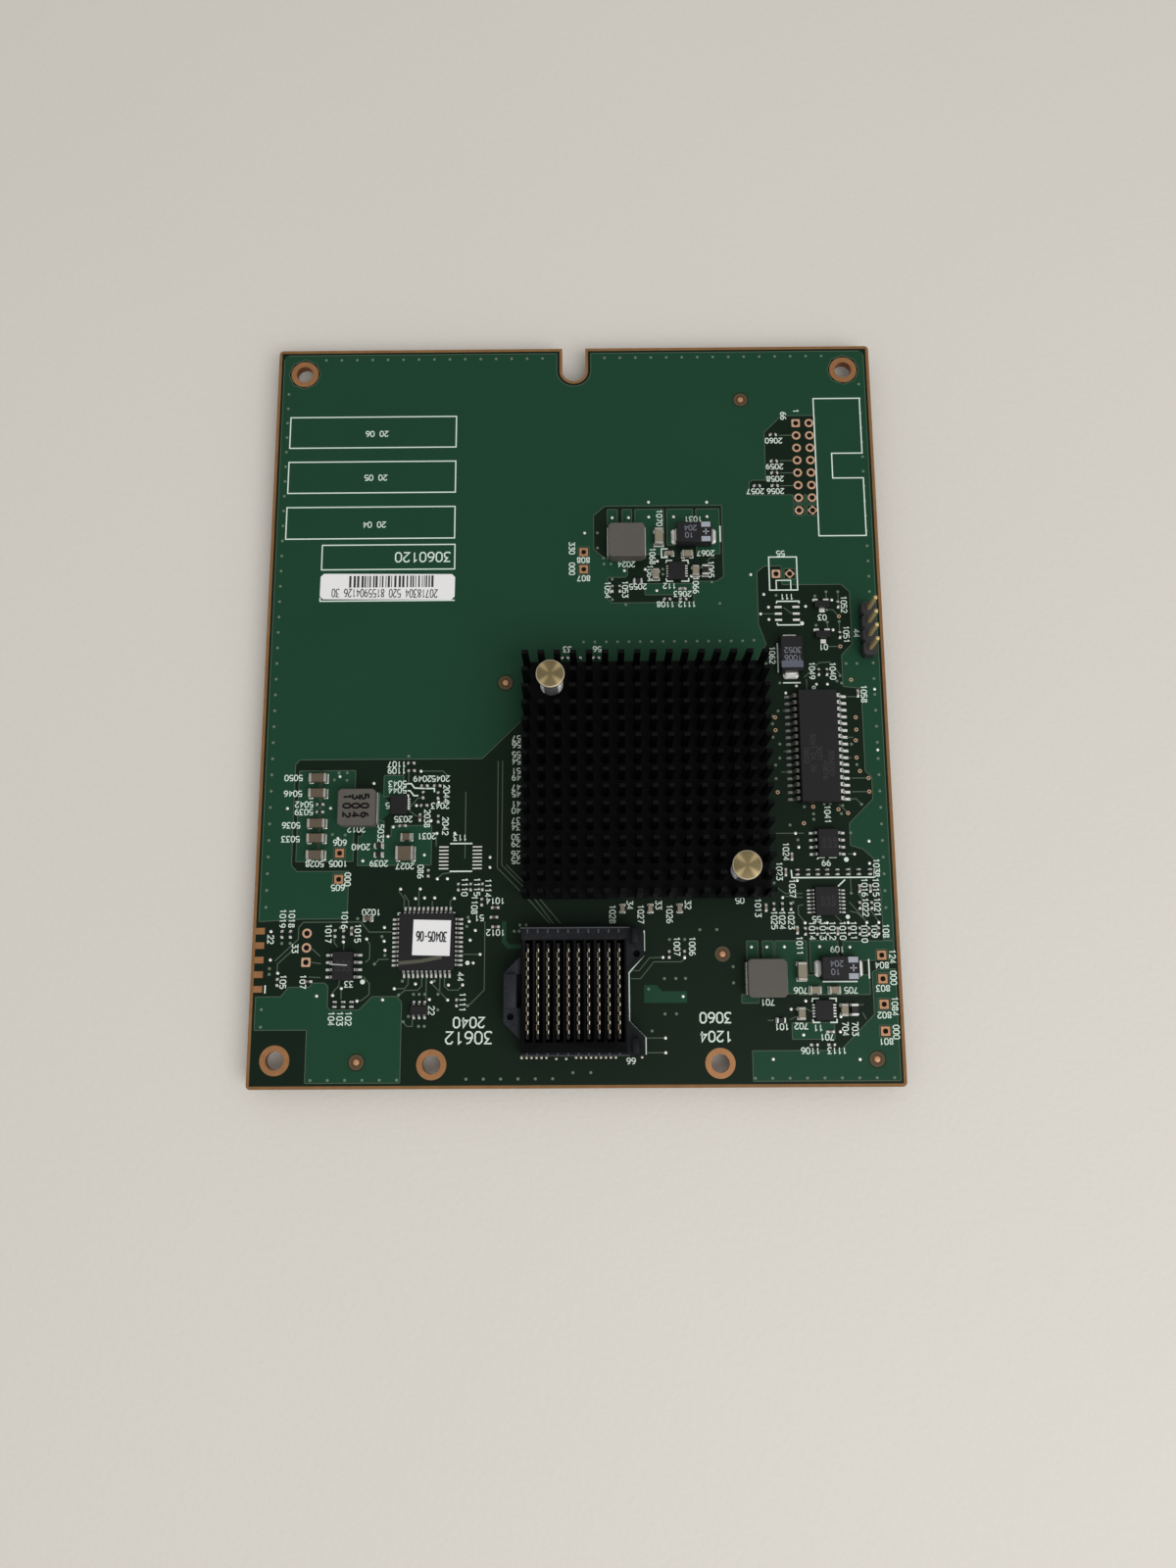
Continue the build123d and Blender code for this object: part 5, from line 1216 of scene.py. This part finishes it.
class RAID_OT_small_parts(RaidOperator, bpy.types.Operator):
    """Makes the finest chip parts, the small transistors and the bare lands"""
    bl_idname = "raid.small_parts"
    bl_label = "Fine chip parts"

    def execute(self, context):
        dark, tan, caps, joints, pads = Shape(), Shape(), Shape(), Shape(), Shape()
        for body, places, turn in ((dark, UPRIGHT_CHIPS, 90), (dark, FLAT_CHIPS, 0),
                                   (tan, UPRIGHT_TAN, 90), (tan, FLAT_TAN, 0)):
            body.repeat(block(0.6, 0.44, 0.38, 0.03), on_board(places), turn)
            along = np.array([cos(radians(turn)), sin(radians(turn))])
            for side in (-1, 1):
                caps.repeat(block(0.22, 0.46, 0.42, 0.05), on_board(places + side * 0.4 * along), turn)
                joints.repeat(block(0.34, 0.48, 0.16, 0.10), on_board(places + side * 0.58 * along),
                              turn)
        piece("fine_resistors", dark, glaze())
        piece("fine_capacitors", tan, MATERIALS["tan_ceramic"])
        piece("fine_chip_ends", caps, tinned())
        for x, y, wide, deep in BARE_PADS:
            pads.repeat(block(wide, deep, 0.075, 0.02), (x, y, TOP))
        piece("fine_solder", joints, solder())
        piece("bare_pads", pads, solder())
        moulds = Shape().repeat(block(2.8, 1.25, 1.0, 0.12),
                                [(45.9, y, TOP + 0.05) for y in (17.2, 11.4)])
        piece("small_transistors", moulds, epoxy(), 30)
        return {"FINISHED"}


# ---------------------------------------------------------------- marks on the parts
class RAID_OT_part_marks(RaidOperator, bpy.types.Operator):
    """Prints plain digits on the packages, chokes and capacitors"""
    bl_idname = "raid.part_marks"
    bl_label = "Marks on the parts"

    def execute(self, context):
        self.streaks()
        self.package_marks()
        self.capacitor_marks()
        self.choke_marks()
        return {"FINISHED"}

    def streaks(self):
        """A pale scratch on the leftmost small package, and a pen's streak on the square one."""
        small = min(islands("small_chip_bodies"), key=lambda b: b[0][0])[1][2]
        scratch, pen = Shape(), Shape()
        scratch.add(*stroke([(-43.0, -48.45), (-39.9, -48.65)], 0.2, small - 0.02))
        pale = plastic("scratch_mark", (0.38, 0.38, 0.37), 0.5, 6, 0.01, 0.3, 0.2)
        piece("scratch_mark", scratch, pale)
        top = cad("logic_body")[1][2]
        pen.add(*stroke([(-30.9, -48.35), (-27, -48.0), (-23.4, -47.3)], 0.62, top - 0.01))
        olive = plastic("pen_streak", (0.085, 0.084, 0.062), 0.5, 6, 0.01, 0.3, 0.2)
        piece("pen_streaks", pen, olive)

    def package_marks(self):
        """Faint rows of digits on the memory chip and on the larger of the small packages."""
        digits = Shape()
        low, high = cad("memory_body")
        x, y, _ = (low + high) / 2
        for text, dx, dy in (("5041", -1.2, 0.6), ("04 26", -1.2, -3.2), ("3071", -0.1, -1.6),
                             ("40816", 0.9, -4.6), ("3050701", 2.0, -3.4), ("0602", -2.4, -2.0)):
            number(digits, text, x + dx, y + dy, 0.85, -90, high[2] - 0.025, 0.12)
        for (x, y, _), size, _, high in middles("small_chip_bodies"):
            if size.max() > 3.5:
                for dx in (-0.8, 0.2, 1.1):
                    number(digits, "4075", x + dx, y, 0.6, -90, high[2] - 0.025, 0.09)
        laser = plastic("faint_mark", (0.040, 0.040, 0.042), 0.6, 5, 0.01, 0.1, 0.15)
        piece("package_marks", digits, laser)

    def capacitor_marks(self):
        """Two rows of digits on every tantalum capacitor."""
        digits = Shape()
        for (x, y, _), size, _, high in middles("tantalum_bodies"):
            rows = ((-0.75, 0.75, "204"), (-1.0, -0.65, "10")) if size[0] > size[1] else (
                (0.15, 0.5, "3052"), (0.15, -0.95, "1006"))
            for dx, dy, text in rows:
                number(digits, text, x + dx, y + dy, 0.95, 180, high[2] - 0.02, 0.16)
        pale = plastic("grey_mark", (0.17, 0.18, 0.21), 0.6, 5, 0.01, 0.1, 0.15)
        piece("capacitor_marks", digits, pale)

    def choke_marks(self):
        """Three rows of digits on the leftmost choke."""
        digits = Shape()
        low, high = min(islands("choke_blocks"), key=lambda b: b[0][0])
        x, y, _ = (low + high) / 2
        for dx, text in ((-1.7, "102"), (-0.1, "304"), (1.5, "506")):
            number(digits, text, x + dx, y + 0.2, 1.25, -90, high[2] - 0.004, 0.34, step=1.32)
        black = plastic("choke_ink", (0.006, 0.006, 0.006), 0.7, 5, 0.01, 0.2, 0.1)
        piece("choke_marks", digits, black)


# ---------------------------------------------------------------- stage
class RAID_OT_stage(RaidOperator, bpy.types.Operator):
    """Sets up the table top, the soft lamp, the world and the camera"""
    bl_idname = "raid.stage"
    bl_label = "Table, lamp and camera"

    def execute(self, context):
        s = context.scene.raid_stage
        self.table(context.scene, s.floor_colour)
        self.light(context.scene, s)
        self.camera(context.scene)
        return {"FINISHED"}

    def table(self, scene, tone):
        """Finely grained floor."""
        mesh = bpy.data.meshes.new("table_top")
        w = 1.2
        mesh.from_pydata([(-w, -w, 0), (w, -w, 0), (w, w, 0), (-w, w, 0)], [], [(0, 1, 2, 3)])
        floor = bpy.data.objects.new("table_top", mesh)
        scene.collection.objects.link(floor)
        f = Finish("table_top")
        grain, cloud = f.noise(0.9, 4, 0.6), f.noise(0.01, 2)
        f.bump(grain, 0.25, 0.3)
        mesh.materials.append(f.set(colour=f.around(grain * 0.5 + cloud * 0.5, tone, 0.04),
                                    roughness=0.62))

    def light(self, scene, s):
        """One large soft lamp and an almost white world."""
        lamp = bpy.data.lights.new("soft_lamp", "AREA")
        lamp.shape, lamp.size, lamp.size_y, lamp.energy = "RECTANGLE", 0.9, 0.7, s.lamp_power
        held = bpy.data.objects.new("soft_lamp", lamp)
        held.location = (0.42, -0.50, 0.85)
        held.rotation_euler = (radians(30), radians(24), 0)
        scene.collection.objects.link(held)
        world = bpy.data.worlds.new("room")
        world.use_nodes = True
        back = world.node_tree.nodes["Background"]
        back.inputs["Color"].default_value = (1.0, 0.985, 0.96, 1)
        back.inputs["Strength"].default_value = s.sky_strength
        scene.world = world
        scene.view_settings.view_transform = "Standard"

    def camera(self, scene):
        """Camera above the board, leaning a little towards its back."""
        lens = bpy.data.cameras.new("camera")
        lens.sensor_width, lens.lens = 36.0, 27.9
        lens.clip_start = 0.005
        camera = bpy.data.objects.new("camera", lens)
        camera.location = (0.00386, -0.05809, 0.21585 + TOP * MM)
        camera.rotation_euler = (radians(10.94), radians(0.45), radians(-0.30))
        scene.collection.objects.link(camera)
        scene.camera = camera


OPERATORS = (RAID_OT_board, RAID_OT_rings, RAID_OT_tracks, RAID_OT_print, RAID_OT_heat_sink,
             RAID_OT_connector, RAID_OT_packages, RAID_OT_passives, RAID_OT_small_parts,
             RAID_OT_part_marks, RAID_OT_stage)


class RAID_PT_sidebar(bpy.types.Panel):
    """Lists the operators that build the board"""
    bl_idname = "RAID_PT_sidebar"
    bl_label = "Storage expansion board"
    bl_space_type = "VIEW_3D"
    bl_region_type = "UI"
    bl_category = "Board"

    def draw(self, context):
        for operator in OPERATORS:
            self.layout.operator(operator.bl_idname)


GROUPS = {"raid_board": RaidBoardSettings, "raid_print": RaidPrintSettings,
          "raid_sink": RaidSinkSettings, "raid_connector": RaidConnectorSettings,
          "raid_stage": RaidStageSettings}


def register():
    for cls in (*GROUPS.values(), *OPERATORS, RAID_PT_sidebar):
        bpy.utils.register_class(cls)
    for name, group in GROUPS.items():
        setattr(bpy.types.Scene, name, bpy.props.PointerProperty(type=group))


def unregister():
    for name in GROUPS:
        delattr(bpy.types.Scene, name)
    for cls in (RAID_PT_sidebar, *reversed(OPERATORS), *GROUPS.values()):
        bpy.utils.unregister_class(cls)


def main():
    register()
    for operator in OPERATORS:
        group, name = operator.bl_idname.split(".")
        getattr(getattr(bpy.ops, group), name)()


if __name__ == "__main__":
    main()
